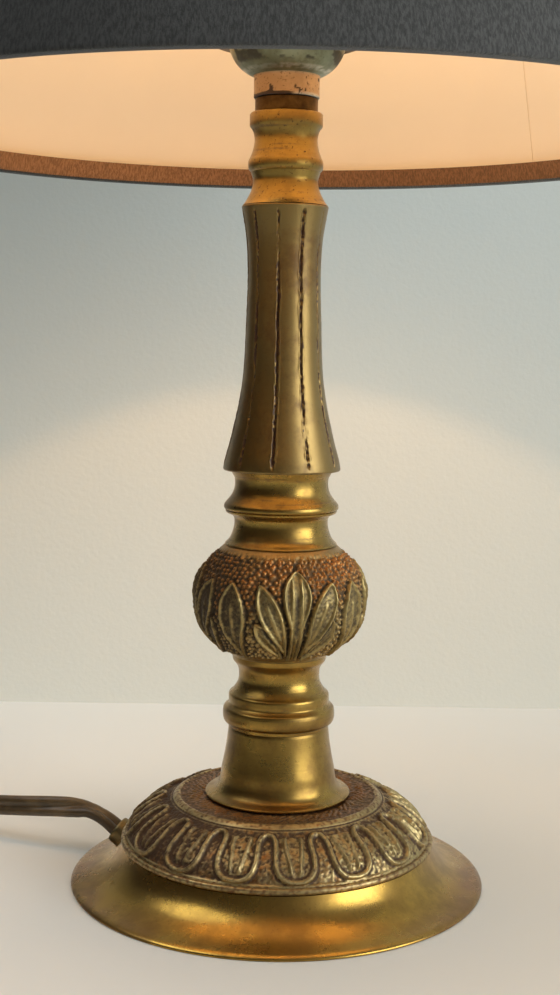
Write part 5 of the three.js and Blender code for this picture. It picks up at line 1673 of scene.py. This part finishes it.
def stage_sheet(name, size, place, turn, material):
    """A flat sheet of the stage; its size and place are metres."""
    shape = bmesh.new()
    bmesh.ops.create_grid(shape, x_segments=1, y_segments=1, size=0.5)
    bmesh.ops.scale(shape, vec=(*size, 1), verts=shape.verts[:])
    sheet = finish_shape(shape, name)
    sheet.data.transform(Matrix.Translation(place) @ turn)
    sheet.data.materials.append(material)


def add_light(name, kind, power, colour, place):
    data = bpy.data.lights.new(name, kind)
    data.energy = power
    data.color = colour
    light = bpy.data.objects.new(name, data)
    light.location = place
    bpy.context.scene.collection.objects.link(light)
    return light


def soft_light(name, place, target, size, power, colour):
    """A rectangular light that faces a target; places and size are metres."""
    light = add_light(name, "AREA", power, colour, place)
    light.data.shape = "RECTANGLE"
    light.data.size, light.data.size_y = size
    aim = Vector(target) - Vector(place)
    light.rotation_euler = aim.to_track_quat("-Z", "Y").to_euler()


GLOW_HEIGHT = 391
GLOW_RADIUS = 13
GLOW_WARMTH = (1.0, 0.62, 0.32)
SPOT_WARMTH = (1.0, 0.53, 0.2)
# Radius of the ring of light that leaves the shade at its bottom rim.
SHADE_MOUTH = 158


def bulb_light(name, kind, power, colour):
    """A warm light at the bulb's middle; a spot points down."""
    light = add_light(name, kind, power, colour, (0, 0, GLOW_HEIGHT * MM))
    light.data.shadow_soft_size = GLOW_RADIUS * MM
    return light


class LAMP_OT_stage(bpy.types.Operator):
    """Sets out the table, the wall, the lights and the world"""

    bl_idname = "lamp.stage"
    bl_label = "Stage"

    def execute(self, context):
        wall = context.scene.lamp_stage.wall_distance
        table = surface_material("Pale Table", (0.775, 0.82, 0.825), 0.97, 60.0, 0.05)
        plaster = surface_material(
            "Pale Plaster", (0.75, 0.785, 0.745), 0.96, 420.0, 0.16, one_sided=True)
        table_size = (STAGE_WIDTH, TABLE_FRONT + wall)
        table_place = (0, (wall - TABLE_FRONT) / 2, 0)
        stage_sheet("table", table_size, table_place, Matrix.Identity(4), table)
        upright = Matrix.Rotation(math.pi / 2, 4, "X")
        stage_sheet("wall", (STAGE_WIDTH, WALL_HEIGHT), (0, wall, WALL_HEIGHT / 2), upright, plaster)
        soft_light("window", (2.1, -1.25, 0.85), (0, 0, 0.2), (1.7, 1.5), 39.5, (0.93, 0.98, 1.0))
        soft_light("ceiling", (-0.7, -0.05, 1.3), (0, 0, 0), (1.0, 1.0), 8.0, (0.92, 0.97, 1.0))
        bulb_light("glow", "POINT", 0.38, GLOW_WARMTH)
        below = bulb_light("glow_below", "SPOT", 1.2, SPOT_WARMTH)
        rim, _ = node_range("shade_cover")
        below.data.spot_size = 2 * math.atan2(SHADE_MOUTH, GLOW_HEIGHT - rim)
        below.data.spot_blend = 0.06
        self.room(context)
        context.scene.view_settings.view_transform = "Standard"
        return {"FINISHED"}

    def room(self, context):
        """A grey room round the table, darker and browner on the left."""
        world = bpy.data.worlds.new("room")
        world.use_nodes = True
        graph = Graph(world.node_tree)
        around = graph.node("ShaderNodeTexCoord").outputs["Generated"]
        share = graph.ramp(graph.across(around), -0.9, 1.0)
        colour = graph.mix(share, rgba(ROOM_LEFT), rgba(ROOM_RIGHT))
        graph.feed(graph.tree.nodes["Background"], {"Color": colour})
        context.scene.world = world


class LAMP_OT_small_parts(bpy.types.Operator):
    """Rounds the nut under the foot"""

    bl_idname = "lamp.small_parts"
    bl_label = "Nut"

    def execute(self, context):
        piece = rounded_copy("rod_nut", "rod_nut_rounded", 0.35, segments=2)
        settle(piece, "lamp", "plain_steel", "Plain Steel", "rod_nut")
        return {"FINISHED"}


class LAMP_PT_panel(bpy.types.Panel):
    """Lists the steps that build the lamp"""

    bl_idname = "LAMP_PT_panel"
    bl_label = "Table Lamp"
    bl_space_type = "VIEW_3D"
    bl_region_type = "UI"
    bl_category = "Lamp"

    def draw(self, context):
        for group in (context.scene.lamp_sizes, context.scene.lamp_colours,
                      context.scene.lamp_stage):
            for key in group.__annotations__:
                self.layout.prop(group, key)
        for step in STEPS:
            self.layout.operator(step.bl_idname)


STEPS = (
    LAMP_OT_camera,
    LAMP_OT_materials,
    LAMP_OT_cord,
    LAMP_OT_foot,
    LAMP_OT_tongue_ring,
    LAMP_OT_turned,
    LAMP_OT_knop,
    LAMP_OT_column,
    LAMP_OT_holder,
    LAMP_OT_bulb,
    LAMP_OT_shade,
    LAMP_OT_small_parts,
    LAMP_OT_stage,
)
GROUPS = (LampSizes, LampColours, StageSettings)


def register():
    for kind in (*GROUPS, *STEPS, LAMP_PT_panel):
        bpy.utils.register_class(kind)
    bpy.types.Scene.lamp_sizes = PointerProperty(type=LampSizes)
    bpy.types.Scene.lamp_colours = PointerProperty(type=LampColours)
    bpy.types.Scene.lamp_stage = PointerProperty(type=StageSettings)


def unregister():
    del bpy.types.Scene.lamp_stage
    del bpy.types.Scene.lamp_colours
    del bpy.types.Scene.lamp_sizes
    for kind in reversed((*GROUPS, *STEPS, LAMP_PT_panel)):
        bpy.utils.unregister_class(kind)


def main():
    register()
    for step in STEPS:
        area, name = step.bl_idname.split(".")
        getattr(getattr(bpy.ops, area), name)()


if __name__ == "__main__":
    main()
